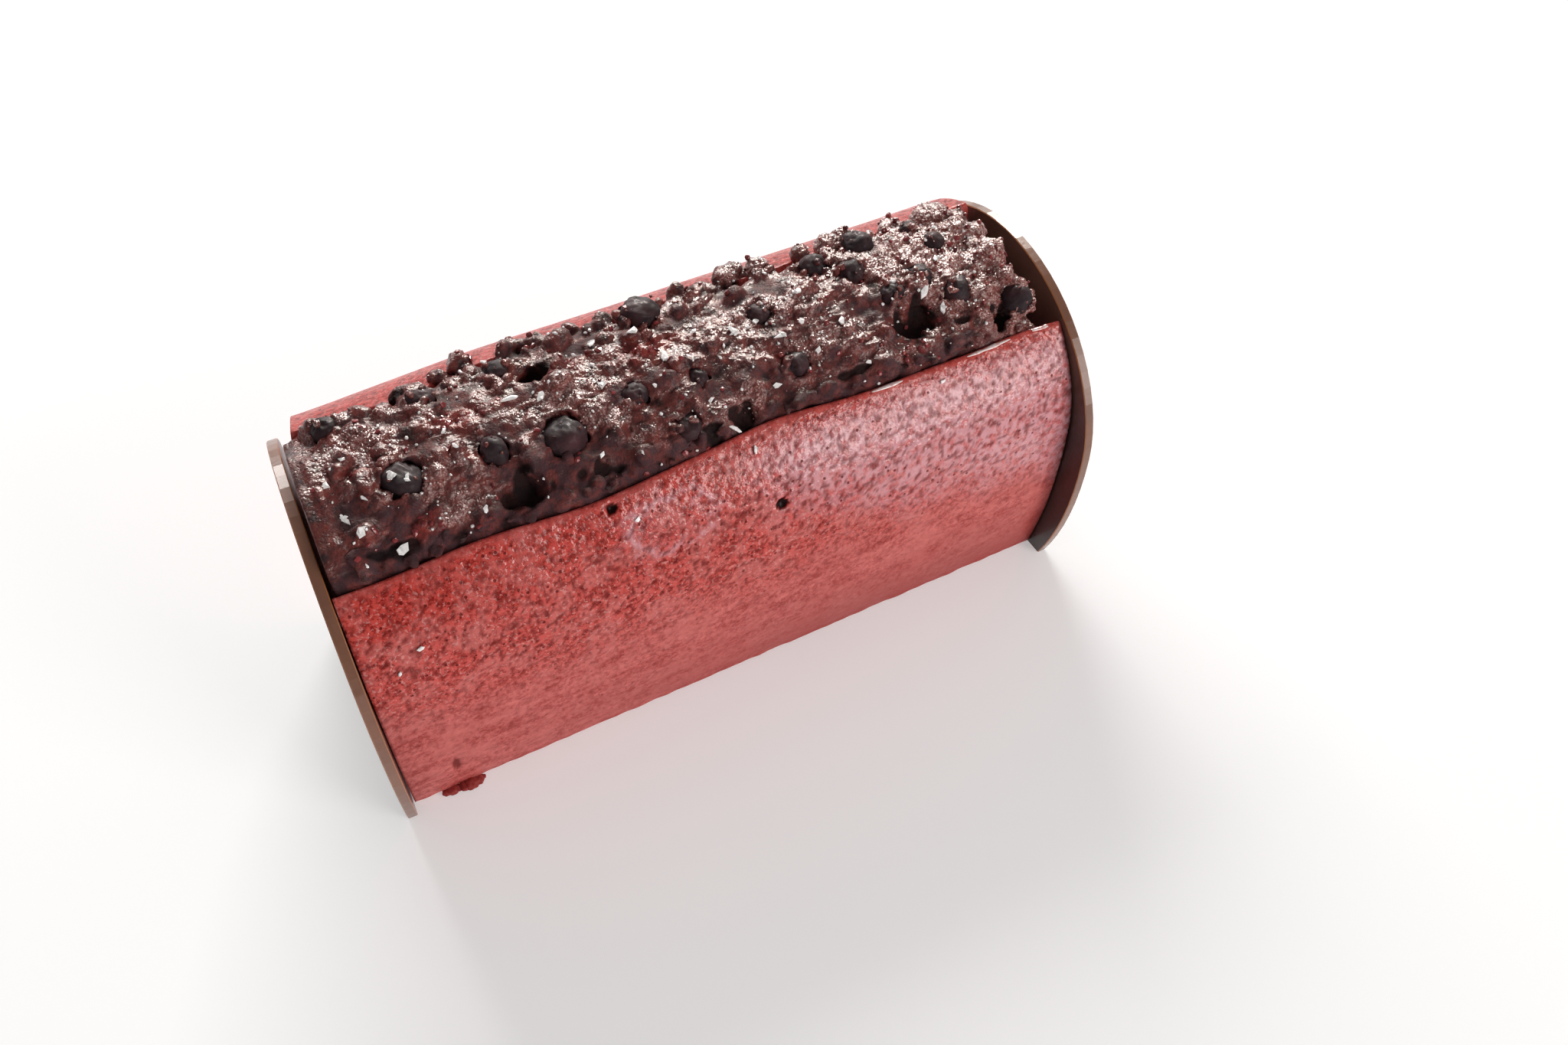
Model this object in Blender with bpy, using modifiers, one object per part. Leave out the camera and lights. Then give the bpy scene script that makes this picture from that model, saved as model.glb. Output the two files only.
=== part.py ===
"""Yule log cake, about 168 mm long: a rose-red mousse log with a trough along its top,
dark berry compote heaped in the trough with whole berries and white flakes set in it,
and a thin chocolate plate standing at each end.

Metres, +Z up. The log lies along X with its front towards -Y, and stands on z = 0.
"""
import math
import random

import bmesh
import bpy
from mathutils import Euler, Matrix, Vector, noise

MM = 0.001
CLEARANCE = 0.3 * MM                # left between pieces that touch

# Log
LOG_LENGTH = 163.0 * MM             # between the two end plates
LOG_STATIONS = 21                   # sections along the log
MOUSSE_HALF_WIDTH = 35.9 * MM
MOUSSE_SHIFT = 2.2 * MM             # the log stands a little behind the plates' middle
MOUSSE_WIDEST_Z = 45.4 * MM
MOUSSE_DOME = 36.2 * MM             # rise of the dome above the widest height
MOUSSE_FLANK = 80.4 * MM            # half axis of the lower ellipse, which the floor cuts off
FOOT_RADIUS = 2.2 * MM
FLANK_WOBBLE = 0.25 * MM            # unevenness of the moulded skin
LEFT_SAG = 1.7 * MM                 # the left end of the log has sunk by this much
LEFT_SAG_START = -42.0 * MM
LEFT_END_CUT = 3.2 * MM             # the top rear corners of the log are pared off by this much
RIGHT_END_CUT = 2.0 * MM
END_CUT_START = 72.5 * MM           # y + z where the paring begins
END_CUT_FULL = 93.0 * MM            # y + z at the rear lip, where it is deepest

# Trough, its lips given as angles round the dome from straight up, front negative
FRONT_LIP = -48.0
REAR_LIP = 18.0
TROUGH_DEPTH = 14.0 * MM
LIP_WIDTH = 1.5 * MM
# (x in mm, reach in mm, change of angle): where a lip swings in or out
FRONT_LIP_WAVES = ((-31, 17, -2.4), (12, 15, 2.6), (48, 14, 0.6), (72, 10, 1.2), (-70, 10, -0.6))
REAR_LIP_WAVES = ((-58, 9, -5.0), (-25, 12, 3.0), (6, 12, 1.5), (24, 9, -2.5), (66, 9, -3.0))

# Bubble holes in the front of the mousse: (x, height, radius) in mm
BUBBLE_HOLES = ((-26.8, 67.5, 1.2), (8.1, 56.4, 1.3))

# End plates: half a circle on a taller half ellipse, cut off by the floor
PLATE_HALF_WIDTH = 40.0 * MM
PLATE_WIDEST_Z = 40.2 * MM
PLATE_LOWER_AXIS = 66.4 * MM
PLATE_THICKNESS = 2.2 * MM
PLATE_BEVEL = 0.45 * MM
LEFT_PLATE_SIZE = 0.955             # the left plate was cut a little smaller
LEFT_PLATE_YAW = math.radians(-2.76)
LEFT_PLATE_LEAN = math.radians(-1.1)
CHIP_ANGLE = -42.0                  # a chip out of the right plate's edge
CHIP_REACH = 2.5
CHIP_DEPTH = 0.8 * MM

# Compote
COMPOTE_END_X = 76.5 * MM           # it stops short of the right plate
COMPOTE_END_DROP = 5.0 * MM         # and is rounded down there
LIP_ANGLE = 2.4                     # degrees of the dome between a lip and the heap's edge
COMPOTE_STATIONS = 34
COMPOTE_RISE = 1.0 * MM             # above the dome's own curve
COMPOTE_RELIEF = 1.5 * MM
RELIEF_SPACING = 8.5 * MM
# (x, y, reach along, reach across, depth) in mm: where the compote lies lower
COMPOTE_DIPS = (
    (-80, 13, 5, 7, 6.5),
    (-60, 10, 6, 3, 3.5),
    (-45, -20, 6, 4, 2.5),
    (48, -15, 6, 4, 3.0),
    (-20, -19, 7, 5, 1.5),
    (68, 12, 7, 4, 1.5),
)
# (x, y, half length, half width, half depth) in mm: empty sockets and dark hollows
HOLLOWS = (
    (-43.6, -19.6, 5.2, 2.9, 4.2),
    (-31.9, 1.7, 3.0, 2.4, 3.4),
    (48.2, -14.8, 5.4, 3.2, 5.0),
    (67.6, -19.4, 2.6, 2.6, 4.2),
    (4.4, -20.6, 3.4, 2.2, 3.4),
    (18.0, 9.6, 3.4, 2.0, 3.0),
    (-60.0, 9.4, 4.6, 1.8, 2.6),
)
FRUIT_PIECES = 92                   # chopped fruit that makes the crags
FRUIT_SIZE = (2.0 * MM, 4.2 * MM)   # half lengths
FRUIT_SEED = 24

# Whole berries, more than half sunk: (x, y, radius, centre above the dome's curve) in mm
BERRIES = (
    (-73.0, 7.6, 3.2, 0.3), (-54.5, 5.6, 3.3, -0.1), (-64.0, -10.5, 4.4, -0.6),
    (-32.0, -13.5, 4.9, -1.3), (-45.7, -11.5, 3.2, -0.1), (-38.0, 5.8, 3.1, 0.2),
    (-5.4, 8.4, 4.5, 1.4), (17.0, -2.0, 2.9, -0.1), (34.6, 5.6, 3.3, 0.5),
    (47.0, 7.9, 3.8, 0.9), (41.0, 0.4, 3.3, 0.3), (46.2, -8.2, 3.0, 0.3),
    (54.4, -6.2, 3.0, 0.1), (60.5, -12.0, 3.6, -0.2), (18.8, -15.4, 3.1, -0.1),
    (-2.0, -11.6, 2.6, -0.2), (-15.3, -10.4, 2.8, -0.2), (-8.1, -19.4, 3.1, 0.0),
    (72.8, -17.5, 3.8, 0.1), (62.6, 1.2, 2.8, 0.3), (60.2, 7.4, 2.4, 0.7),
)
BERRY_FLATNESS = 0.92
BERRY_SEGMENTS = 12
BERRY_RINGS = 7
SOCKET_EASE = 1.065                 # keeps a socket's flat sides clear of its berry

# White flakes: (x, y, length, turn in degrees) in mm, the large ones as they lie
LARGE_FLAKES = (
    (-38.6, -3.0, 3.5, 20), (-33.0, -4.8, 2.6, 70), (9.4, -4.9, 3.3, 85), (-6.4, -5.6, 3.0, 80),
    (1.0, -21.9, 4.2, -55), (52.3, -11.0, 3.8, 25), (-21.0, -6.4, 3.0, 75),
    (-76.4, -13.5, 3.0, -60), (-74.6, -16.8, 2.5, 30), (-68.6, -21.0, 2.7, 15),
    (55.4, -14.4, 2.9, 50), (17.6, -9.8, 2.9, 5), (26.0, -2.0, 2.5, 30), (-10.0, 1.4, 2.6, 65),
    (15.2, -4.2, 2.4, 0), (-18.6, 3.6, 2.6, 40),
)
# (berry number, bearing in degrees, tilt from the top in degrees, length in mm)
BERRY_FLAKES = ((3, 200, 30, 3.2), (3, 290, 38, 2.8), (12, 60, 35, 3.0))
# (x, height, length, turn) in mm and degrees: flakes that fell on the mousse
MOUSSE_FLAKES = (
    (3.8, 68.1, 2.4, 70), (49.2, 68.0, 1.8, 20), (-24.2, 64.3, 2.4, 50),
    (-71.8, 57.0, 1.9, 15), (-77.0, 53.6, 1.8, 60),
)
SMALL_FLAKES = 26
SMALL_FLAKE_LENGTH = (1.3 * MM, 2.1 * MM)
FLAKE_THICKNESS = 0.55 * MM
FLAKE_SEAT = 0.94                   # how far out a berry's flakes lie, as a share of its radius
FLAKE_SEED = 7

COLOURS = {
    "mousse": ((0.50, 0.068, 0.075, 1.0), 0.42),
    "compote": ((0.042, 0.014, 0.017, 1.0), 0.28),
    "berry": ((0.020, 0.009, 0.014, 1.0), 0.22),
    "chocolate": ((0.125, 0.048, 0.028, 1.0), 0.38),
}


def clear_scene():
    for obj in list(bpy.data.objects):
        bpy.data.objects.remove(obj, do_unlink=True)


def make_material(name):
    colour, roughness = COLOURS[name]
    material = bpy.data.materials.new(name)
    material.use_nodes = True
    shader = material.node_tree.nodes["Principled BSDF"]
    shader.inputs["Base Color"].default_value = colour
    shader.inputs["Roughness"].default_value = roughness
    shader.inputs["Metallic"].default_value = 0.0
    return material


def new_collection(name):
    collection = bpy.data.collections.new(name)
    bpy.context.scene.collection.children.link(collection)
    return collection


def object_from_bmesh(name, bm, collection):
    bmesh.ops.recalc_face_normals(bm, faces=bm.faces)
    mesh = bpy.data.meshes.new(name)
    bm.to_mesh(mesh)
    bm.free()
    obj = bpy.data.objects.new(name, mesh)
    collection.objects.link(obj)
    return obj


def as_cutter(obj):
    obj.hide_render = True
    obj.display_type = "WIRE"
    return obj


def loft(name, rings, collection):
    """One closed body through rings of equal length, with a flat cap on each end."""
    bm = bmesh.new()
    rows = [[bm.verts.new(point) for point in ring] for ring in rings]
    for row, following in zip(rows, rows[1:]):
        for k in range(len(row)):
            j = (k + 1) % len(row)
            bm.faces.new((row[k], row[j], following[j], following[k]))
    caps = [bm.faces.new(rows[0]), bm.faces.new(rows[-1])]
    bmesh.ops.triangulate(bm, faces=caps, ngon_method="EAR_CLIP")
    return object_from_bmesh(name, bm, collection)


def apply_modifiers(obj):
    """Swap the object's mesh for the one its modifiers make."""
    evaluated = obj.evaluated_get(bpy.context.evaluated_depsgraph_get())
    mesh = bpy.data.meshes.new_from_object(evaluated)
    obj.modifiers.clear()
    obj.data = mesh


def boolean(obj, operation, collection):
    """Join a collection to the object or cut it away, then remove its objects."""
    modifier = obj.modifiers.new(operation.title(), "BOOLEAN")
    modifier.operation = operation
    modifier.operand_type = "COLLECTION"
    modifier.collection = collection
    modifier.solver = "MANIFOLD"
    apply_modifiers(obj)
    for other in list(collection.objects):
        bpy.data.objects.remove(other, do_unlink=True)
    bpy.data.collections.remove(collection)


def keep_main_body(obj):
    """Drop loose scraps: keep the connected body with the most vertices."""
    bm = bmesh.new()
    bm.from_mesh(obj.data)
    unseen = set(bm.verts)
    bodies = []
    while unseen:
        stack = [unseen.pop()]
        body = set(stack)
        while stack:
            for edge in stack.pop().link_edges:
                for vertex in edge.verts:
                    if vertex in unseen:
                        unseen.remove(vertex)
                        body.add(vertex)
                        stack.append(vertex)
        bodies.append(body)
    main = max(bodies, key=len)
    scraps = [vertex for body in bodies if body is not main for vertex in body]
    bmesh.ops.delete(bm, geom=scraps, context="VERTS")
    bm.to_mesh(obj.data)
    bm.free()


def smoothstep(low, high, value):
    t = min(max((value - low) / (high - low), 0.0), 1.0)
    return t * t * (3.0 - 2.0 * t)


def waves(table, x):
    return sum(change * math.exp(-((x / MM - place) / reach) ** 2) for place, reach, change in table)


def front_lip(x):
    return FRONT_LIP + waves(FRONT_LIP_WAVES, x)


def rear_lip(x):
    return REAR_LIP + waves(REAR_LIP_WAVES, x)


def sag(x):
    return LEFT_SAG * smoothstep(LEFT_SAG_START, -0.5 * LOG_LENGTH, x)


def dome_point(x, degrees):
    """(y, z) on the dome of the log at an angle from straight up."""
    angle = math.radians(degrees)
    y = MOUSSE_SHIFT + MOUSSE_HALF_WIDTH * math.sin(angle)
    return y, MOUSSE_WIDEST_Z - sag(x) + MOUSSE_DOME * math.cos(angle)


def dome_angle(y):
    return math.degrees(math.asin((y - MOUSSE_SHIFT) / MOUSSE_HALF_WIDTH))


def dome_normal(degrees):
    angle = math.radians(degrees)
    across = math.sin(angle) / MOUSSE_HALF_WIDTH
    upward = math.cos(angle) / MOUSSE_DOME
    return Vector((0.0, across, upward)).normalized()


def on_dome(x, degrees, rise=0.0):
    y, z = dome_point(x, degrees)
    return Vector((x, y, z)) + dome_normal(degrees) * rise


def flank_width(z):
    """Half width of the log below its widest height."""
    return MOUSSE_HALF_WIDTH * math.sqrt(1.0 - ((MOUSSE_WIDEST_Z - z) / MOUSSE_FLANK) ** 2)


def flank_side(x, side, rings=7, foot_rings=3):
    """Points down one flank from the widest height, round the foot to the floor."""
    points = []
    for k in range(1, rings + 1):
        z = MOUSSE_WIDEST_Z + (FOOT_RADIUS - MOUSSE_WIDEST_Z) * k / rings
        points.append((side * flank_width(z), z - sag(x) * z / MOUSSE_WIDEST_Z))
    inner = flank_width(FOOT_RADIUS) - FOOT_RADIUS
    for k in range(1, foot_rings + 1):
        turn = 0.5 * math.pi * k / foot_rings
        points.append((side * (inner + FOOT_RADIUS * math.cos(turn)), FOOT_RADIUS * (1 - math.sin(turn))))
    return [(MOUSSE_SHIFT + y, z) for y, z in points]


def trough_points(x, count=9):
    """The trough from its front edge to its rear edge, a round-cornered U."""
    y, z = dome_point(x, front_lip(x))
    front = Vector((y + 1.1 * LIP_WIDTH, z - 0.3 * LIP_WIDTH))
    y, z = dome_point(x, rear_lip(x))
    rear = Vector((y - 0.8 * LIP_WIDTH, z - 0.7 * LIP_WIDTH))
    middle = 0.5 * (front + rear)
    half = 0.5 * (rear - front)
    points = []
    for k in range(count + 1):
        turn = math.pi * k / count
        along = math.copysign(abs(math.cos(turn)) ** 0.55, -math.cos(turn))
        down = TROUGH_DEPTH * math.sin(turn) ** 0.6 if 0 < k < count else 0.0
        point = middle + half * along
        points.append((point.x, point.y - down))
    return points


def mousse_section(x):
    """(y, z) round the log: over the rear, down to the floor, up the front, into the trough."""
    low, high = rear_lip(x), front_lip(x)
    section = []
    for k in range(10):
        section.append(dome_point(x, low + (90.0 - low) * k / 9))
    section += flank_side(x, 1.0)
    section += [(MOUSSE_SHIFT + 0.6 * k * MOUSSE_HALF_WIDTH, 0.0) for k in (0.6, 0.0, -0.6)]
    section += reversed(flank_side(x, -1.0))
    for k in range(8):
        section.append(dome_point(x, -90.0 + (high + 90.0) * k / 7))
    y, z = section[-1]
    section.append((y + 0.55 * LIP_WIDTH, z + 0.35 * LIP_WIDTH))
    section += trough_points(x)
    y, z = section[0]
    section.append((y - 0.5 * LIP_WIDTH, z - 0.05 * LIP_WIDTH))
    return section


def wobble(x, y, z):
    """A small in-and-out of the moulded skin, nothing at the floor."""
    fade = smoothstep(0.0, 12.0 * MM, z)
    return fade * FLANK_WOBBLE * noise.noise(Vector((x, y, z)) / (17.0 * MM))


def left_plate_face(y, z):
    """x of the left plate's inner face."""
    return -0.5 * LOG_LENGTH - math.tan(LEFT_PLATE_YAW) * y + math.tan(LEFT_PLATE_LEAN) * z


def log_rings():
    """Rings of the whole log, flat at both ends against the plates."""
    rings = []
    for k in range(LOG_STATIONS):
        share = k / (LOG_STATIONS - 1)
        x = (share - 0.5) * LOG_LENGTH
        ring = []
        for y, z in mousse_section(x):
            outward = Vector((y - MOUSSE_SHIFT, z - MOUSSE_WIDEST_Z)).normalized()
            outward *= wobble(x, y, z)
            y, z = y + outward.x, z + outward.y
            near = left_plate_face(y, z) + CLEARANCE
            far = 0.5 * LOG_LENGTH - CLEARANCE
            ring.append((near + (far - near) * share, y, z))
        rings.append(ring)
    return rings


def end_cutter(side, depth, collection):
    """A slab whose inner face slopes across a top rear corner of the log."""
    slope = depth / (END_CUT_FULL - END_CUT_START)
    y, z = 0.14 * END_CUT_FULL, 0.86 * END_CUT_FULL
    if side < 0:
        face = left_plate_face(y, z)
        normal = Vector((1.0, math.tan(LEFT_PLATE_YAW) - slope, -math.tan(LEFT_PLATE_LEAN) - slope))
    else:
        face = 0.5 * LOG_LENGTH
        normal = Vector((-1.0, -slope, -slope))
    normal.normalize()
    slab = Vector((20.0 * MM, 120.0 * MM, 120.0 * MM))
    bm = bmesh.new()
    bmesh.ops.create_cube(bm, size=1.0)
    bmesh.ops.scale(bm, vec=slab, verts=bm.verts)
    centre = Vector((face - side * (depth + CLEARANCE), y, z)) - normal * 0.5 * slab.x
    turn = Vector((1.0, 0.0, 0.0)).rotation_difference(normal).to_matrix().to_4x4()
    bmesh.ops.transform(bm, matrix=Matrix.Translation(centre) @ turn, verts=bm.verts)
    return as_cutter(object_from_bmesh(f"end_cutter_{side}", bm, collection))


def flake(name, place, normal, length, turn, draw, collection):
    """A thin uneven five-sided chip lying on a surface."""
    bm = bmesh.new()
    bmesh.ops.create_cone(bm, cap_ends=True, segments=5, radius1=0.5 * length,
                          radius2=0.42 * length, depth=FLAKE_THICKNESS)
    for vertex in bm.verts:
        vertex.co.x *= draw.uniform(0.9, 1.1)
        vertex.co.y *= draw.uniform(0.5, 0.72)
    facing = normal.to_track_quat("Z", "Y").to_matrix().to_4x4()
    matrix = Matrix.Translation(place) @ facing @ Matrix.Rotation(math.radians(turn), 4, "Z")
    bmesh.ops.transform(bm, matrix=matrix, verts=bm.verts)
    return object_from_bmesh(name, bm, collection)


def make_mousse(collection, material):
    mousse = loft("mousse_log", log_rings(), collection)
    draw = random.Random(FLAKE_SEED)
    flakes = new_collection("flakes_on_mousse")
    for k, (x, height, length, turn) in enumerate(MOUSSE_FLAKES):
        angle = -math.degrees(math.acos((height * MM - MOUSSE_WIDEST_Z) / MOUSSE_DOME))
        place = on_dome(x * MM, angle, 0.35 * FLAKE_THICKNESS)
        flake(f"mousse_flake_{k}", place, dome_normal(angle), length * MM, turn, draw, flakes)
    boolean(mousse, "UNION", flakes)
    holes = new_collection("mousse_cutters")
    end_cutter(-1, LEFT_END_CUT, holes)
    end_cutter(1, RIGHT_END_CUT, holes)
    for k, (x, height, radius) in enumerate(BUBBLE_HOLES):
        angle = -math.degrees(math.acos((height * MM - MOUSSE_WIDEST_Z) / MOUSSE_DOME))
        bm = bmesh.new()
        bmesh.ops.create_icosphere(bm, subdivisions=2, radius=radius * MM)
        bmesh.ops.translate(bm, verts=bm.verts, vec=on_dome(x * MM, angle))
        as_cutter(object_from_bmesh(f"bubble_{k}", bm, holes))
    boolean(mousse, "DIFFERENCE", holes)
    keep_main_body(mousse)
    mousse.data.materials.append(material)
    return mousse


def berry_matrix(number):
    x, y, _, lift = (value * MM for value in BERRIES[number - 1])
    draw = random.Random(number)
    tilt = Euler((draw.uniform(-0.5, 0.5), draw.uniform(-0.5, 0.5), draw.uniform(0.0, 6.28)))
    return Matrix.Translation(on_dome(x, dome_angle(y), lift)) @ tilt.to_matrix().to_4x4()


def berry_ball(number, collection):
    radius = BERRIES[number - 1][2] * MM
    bm = bmesh.new()
    bmesh.ops.create_uvsphere(bm, u_segments=BERRY_SEGMENTS, v_segments=BERRY_RINGS, radius=radius)
    bmesh.ops.scale(bm, vec=(1.0, 1.0, BERRY_FLATNESS), verts=bm.verts)
    bmesh.ops.transform(bm, matrix=berry_matrix(number), verts=bm.verts)
    return object_from_bmesh(f"berry_{number:02d}", bm, collection)


def berry_socket(number, collection):
    """The hollow that a berry sits in, clear of it all round."""
    radius = (BERRIES[number - 1][2] * MM + CLEARANCE) * SOCKET_EASE
    bm = bmesh.new()
    bmesh.ops.create_icosphere(bm, subdivisions=2, radius=radius)
    bmesh.ops.transform(bm, matrix=berry_matrix(number), verts=bm.verts)
    return as_cutter(object_from_bmesh(f"socket_{number}", bm, collection))


def make_berries(collection, material):
    draw = random.Random(FLAKE_SEED + 1)
    for number in range(1, len(BERRIES) + 1):
        berry = berry_ball(number, collection)
        centre = berry_matrix(number).to_translation()
        radius = BERRIES[number - 1][2] * MM
        chosen = [row for row in BERRY_FLAKES if row[0] == number]
        if chosen:
            flakes = new_collection(f"flakes_on_berry_{number}")
            for k, (_, bearing, tilt, length) in enumerate(chosen):
                lean = Euler((0.0, math.radians(tilt), math.radians(bearing))).to_matrix()
                outward = lean @ Vector((0.0, 0.0, 1.0))
                place = centre + outward * radius * FLAKE_SEAT
                name = f"berry_{number}_flake_{k}"
                flake(name, place, outward, length * MM, 30 * k, draw, flakes)
            boolean(berry, "UNION", flakes)
        berry.data.shade_smooth()
        berry.data.materials.append(material)


def compote_rise(x, y):
    """Height of the compote above the dome's curve."""
    relief = noise.noise(Vector((x, y, 0.0)) / RELIEF_SPACING)
    relief += 0.5 * noise.noise(Vector((x, y, 0.05)) / (0.45 * RELIEF_SPACING))
    dips = 0.0
    for place_x, place_y, along, across, depth in COMPOTE_DIPS:
        distance = ((x / MM - place_x) / along) ** 2 + ((y / MM - place_y) / across) ** 2
        dips += depth * MM * math.exp(-distance)
    return COMPOTE_RISE + COMPOTE_RELIEF * relief - dips


def lining_points(x):
    """The trough's own line, drawn in by the clearance, from its front edge to its rear."""
    line = [Vector(point) for point in trough_points(x)]
    lining = []
    for k, point in enumerate(line):
        along = line[min(k + 1, len(line) - 1)] - line[max(k - 1, 0)]
        inward = Vector((-along.y, along.x)).normalized()
        lining.append(point + inward * 1.2 * CLEARANCE)
    return lining


def compote_rings(top_points=14):
    """The heap's crest from the front lip to the rear, then back along the trough."""
    rings = []
    for k in range(COMPOTE_STATIONS):
        share = k / (COMPOTE_STATIONS - 1)
        x = -0.5 * LOG_LENGTH + (COMPOTE_END_X + 0.5 * LOG_LENGTH) * share
        lining = lining_points(x)
        low, high = front_lip(x) + LIP_ANGLE, rear_lip(x) - LIP_ANGLE
        end_drop = COMPOTE_END_DROP * (1.0 - smoothstep(0.0, COMPOTE_END_DROP, COMPOTE_END_X - x))
        outline = []
        for j in range(1, top_points):
            angle = low + (high - low) * j / top_points
            y = dome_point(x, angle)[0]
            edge = math.sin(math.pi * j / top_points) ** 0.35
            point = on_dome(x, angle, compote_rise(x, y) * edge - end_drop)
            outline.append((point.y, max(point.z, lining[-1].y - 0.8 * TROUGH_DEPTH)))
        outline += [tuple(point) for point in reversed(lining)]
        ring = []
        for y, z in outline:
            near = left_plate_face(y, z) + 3.0 * CLEARANCE
            ring.append((near + (COMPOTE_END_X - near) * share, y, z))
        rings.append(ring)
    return rings


def lip_room(x, angle):
    """How far a place on the dome is from the nearer wall of the trough."""
    nearer = min(angle - front_lip(x), rear_lip(x) - angle)
    return math.radians(nearer) * MOUSSE_DOME - 1.2 * LIP_WIDTH - CLEARANCE


def near_berry(x, y, reach):
    return any(math.hypot(x - bx * MM, y - by * MM) < r * MM + reach for bx, by, r, _ in BERRIES)


def in_hollow(x, y, reach):
    for place_x, place_y, along, across, _ in HOLLOWS:
        if abs(x - place_x * MM) < along * MM + reach and abs(y - place_y * MM) < across * MM + reach:
            return True
    return False


def add_fruit(collection):
    """Chopped fruit spread evenly over the heap, a few sides each, at its true size."""
    draw = random.Random(FRUIT_SEED)
    for k in range(FRUIT_PIECES):
        x = -79.0 * MM + (COMPOTE_END_X + 76.5 * MM) * (k + draw.random()) / FRUIT_PIECES
        angle = draw.uniform(front_lip(x) + 4.0, rear_lip(x) - 4.0)
        y = dome_point(x, angle)[0]
        half = min(draw.uniform(*FRUIT_SIZE), lip_room(x, angle))
        if half < 0.6 * FRUIT_SIZE[0] or in_hollow(x, y, 0.2 * half):
            continue
        bm = bmesh.new()
        bmesh.ops.create_icosphere(bm, subdivisions=1, radius=half)
        for vertex in bm.verts:
            vertex.co *= draw.uniform(0.75, 1.15)
        bmesh.ops.scale(bm, vec=(1.0, draw.uniform(0.6, 0.9), draw.uniform(0.5, 0.8)), verts=bm.verts)
        turn = Euler([draw.uniform(-0.6, 0.6), draw.uniform(-0.6, 0.6), draw.uniform(0.0, 6.28)])
        place = on_dome(x, angle, compote_rise(x, y) - draw.uniform(0.05, 0.45) * half)
        matrix = Matrix.Translation(place) @ turn.to_matrix().to_4x4()
        bmesh.ops.transform(bm, matrix=matrix, verts=bm.verts)
        object_from_bmesh(f"fruit_{k}", bm, collection)


def add_compote_flakes(collection):
    draw = random.Random(FLAKE_SEED + 2)
    rows = [(x * MM, y * MM, length * MM, turn) for x, y, length, turn in LARGE_FLAKES]
    while len(rows) < len(LARGE_FLAKES) + SMALL_FLAKES:
        x = draw.uniform(-78.0 * MM, 66.0 * MM)
        y = dome_point(x, draw.uniform(front_lip(x) + 6.0, rear_lip(x) - 5.0))[0]
        length = draw.uniform(*SMALL_FLAKE_LENGTH)
        apart = all(math.hypot(x - row[0], y - row[1]) > 4.0 * MM for row in rows)
        if apart and not near_berry(x, y, 0.6 * length + CLEARANCE) and not in_hollow(x, y, length):
            rows.append((x, y, length, draw.uniform(0.0, 180.0)))
    for k, (x, y, length, turn) in enumerate(rows):
        angle = dome_angle(y)
        place = on_dome(x, angle, compote_rise(x, y) + 1.1 * MM)
        tilt = dome_normal(angle) + Vector((draw.uniform(-0.25, 0.25), draw.uniform(-0.25, 0.25), 0.0))
        flake(f"flake_{k}", place, tilt.normalized(), length, turn, draw, collection)


def make_compote(collection, material):
    compote = loft("berry_compote", compote_rings(), collection)
    pieces = new_collection("compote_pieces")
    add_fruit(pieces)
    add_compote_flakes(pieces)
    boolean(compote, "UNION", pieces)
    cutters = new_collection("compote_cutters")
    for number in range(1, len(BERRIES) + 1):
        berry_socket(number, cutters)
    for k, (x, y, along, across, deep) in enumerate(HOLLOWS):
        bm = bmesh.new()
        bmesh.ops.create_uvsphere(bm, u_segments=10, v_segments=7, radius=MM)
        bmesh.ops.scale(bm, vec=(along, across, deep), verts=bm.verts)
        place = on_dome(x * MM, dome_angle(y * MM), 0.5 * MM)
        bmesh.ops.translate(bm, verts=bm.verts, vec=place)
        as_cutter(object_from_bmesh(f"hollow_{k}", bm, cutters))
    boolean(compote, "DIFFERENCE", cutters)
    keep_main_body(compote)
    compote.data.materials.append(material)
    return compote


def plate_outline(size, chipped, upper=32, lower=8):
    """(y, z) round a plate, starting and ending on the floor."""
    points = []
    floor_turn = math.asin(PLATE_WIDEST_Z / PLATE_LOWER_AXIS)
    for k in range(lower):
        turn = floor_turn * (1.0 - k / lower)
        points.append((-PLATE_HALF_WIDTH * math.cos(turn), PLATE_WIDEST_Z - PLATE_LOWER_AXIS * math.sin(turn)))
    for k in range(upper + 1):
        degrees = -90.0 + 180.0 * k / upper
        radius = PLATE_HALF_WIDTH
        if chipped:
            radius -= CHIP_DEPTH * max(0.0, 1.0 - abs(degrees - CHIP_ANGLE) / CHIP_REACH)
        turn = math.radians(degrees)
        points.append((radius * math.sin(turn), PLATE_WIDEST_Z + radius * math.cos(turn)))
    points += [(-y, z) for y, z in reversed(points[:lower])]
    return [(y * size, z * size) for y, z in points]


def make_plate(name, size, chipped, collection, material):
    """A flat plate cut from its outline, standing in the YZ plane with its edges eased."""
    curve = bpy.data.curves.new(name, "CURVE")
    curve.dimensions = "2D"
    curve.fill_mode = "BOTH"
    curve.extrude = 0.5 * PLATE_THICKNESS
    outline = plate_outline(size, chipped)
    spline = curve.splines.new("POLY")
    spline.points.add(len(outline) - 1)
    for point, (y, z) in zip(spline.points, outline):
        point.co = (y, z, 0.0, 1.0)
    spline.use_cyclic_u = True
    flat = bpy.data.objects.new(name + "_outline", curve)
    collection.objects.link(flat)
    mesh = bpy.data.meshes.new_from_object(flat.evaluated_get(bpy.context.evaluated_depsgraph_get()))
    bpy.data.objects.remove(flat, do_unlink=True)
    bm = bmesh.new()
    bm.from_mesh(mesh)
    bmesh.ops.remove_doubles(bm, verts=bm.verts, dist=0.01 * MM)
    plate = object_from_bmesh(name, bm, collection)
    bevel = plate.modifiers.new("Bevel", "BEVEL")
    bevel.width = PLATE_BEVEL
    bevel.segments = 1
    bevel.limit_method = "ANGLE"
    bevel.angle_limit = math.radians(40.0)
    plate.data.materials.append(material)
    plate.rotation_mode = "QUATERNION"
    return plate


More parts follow.
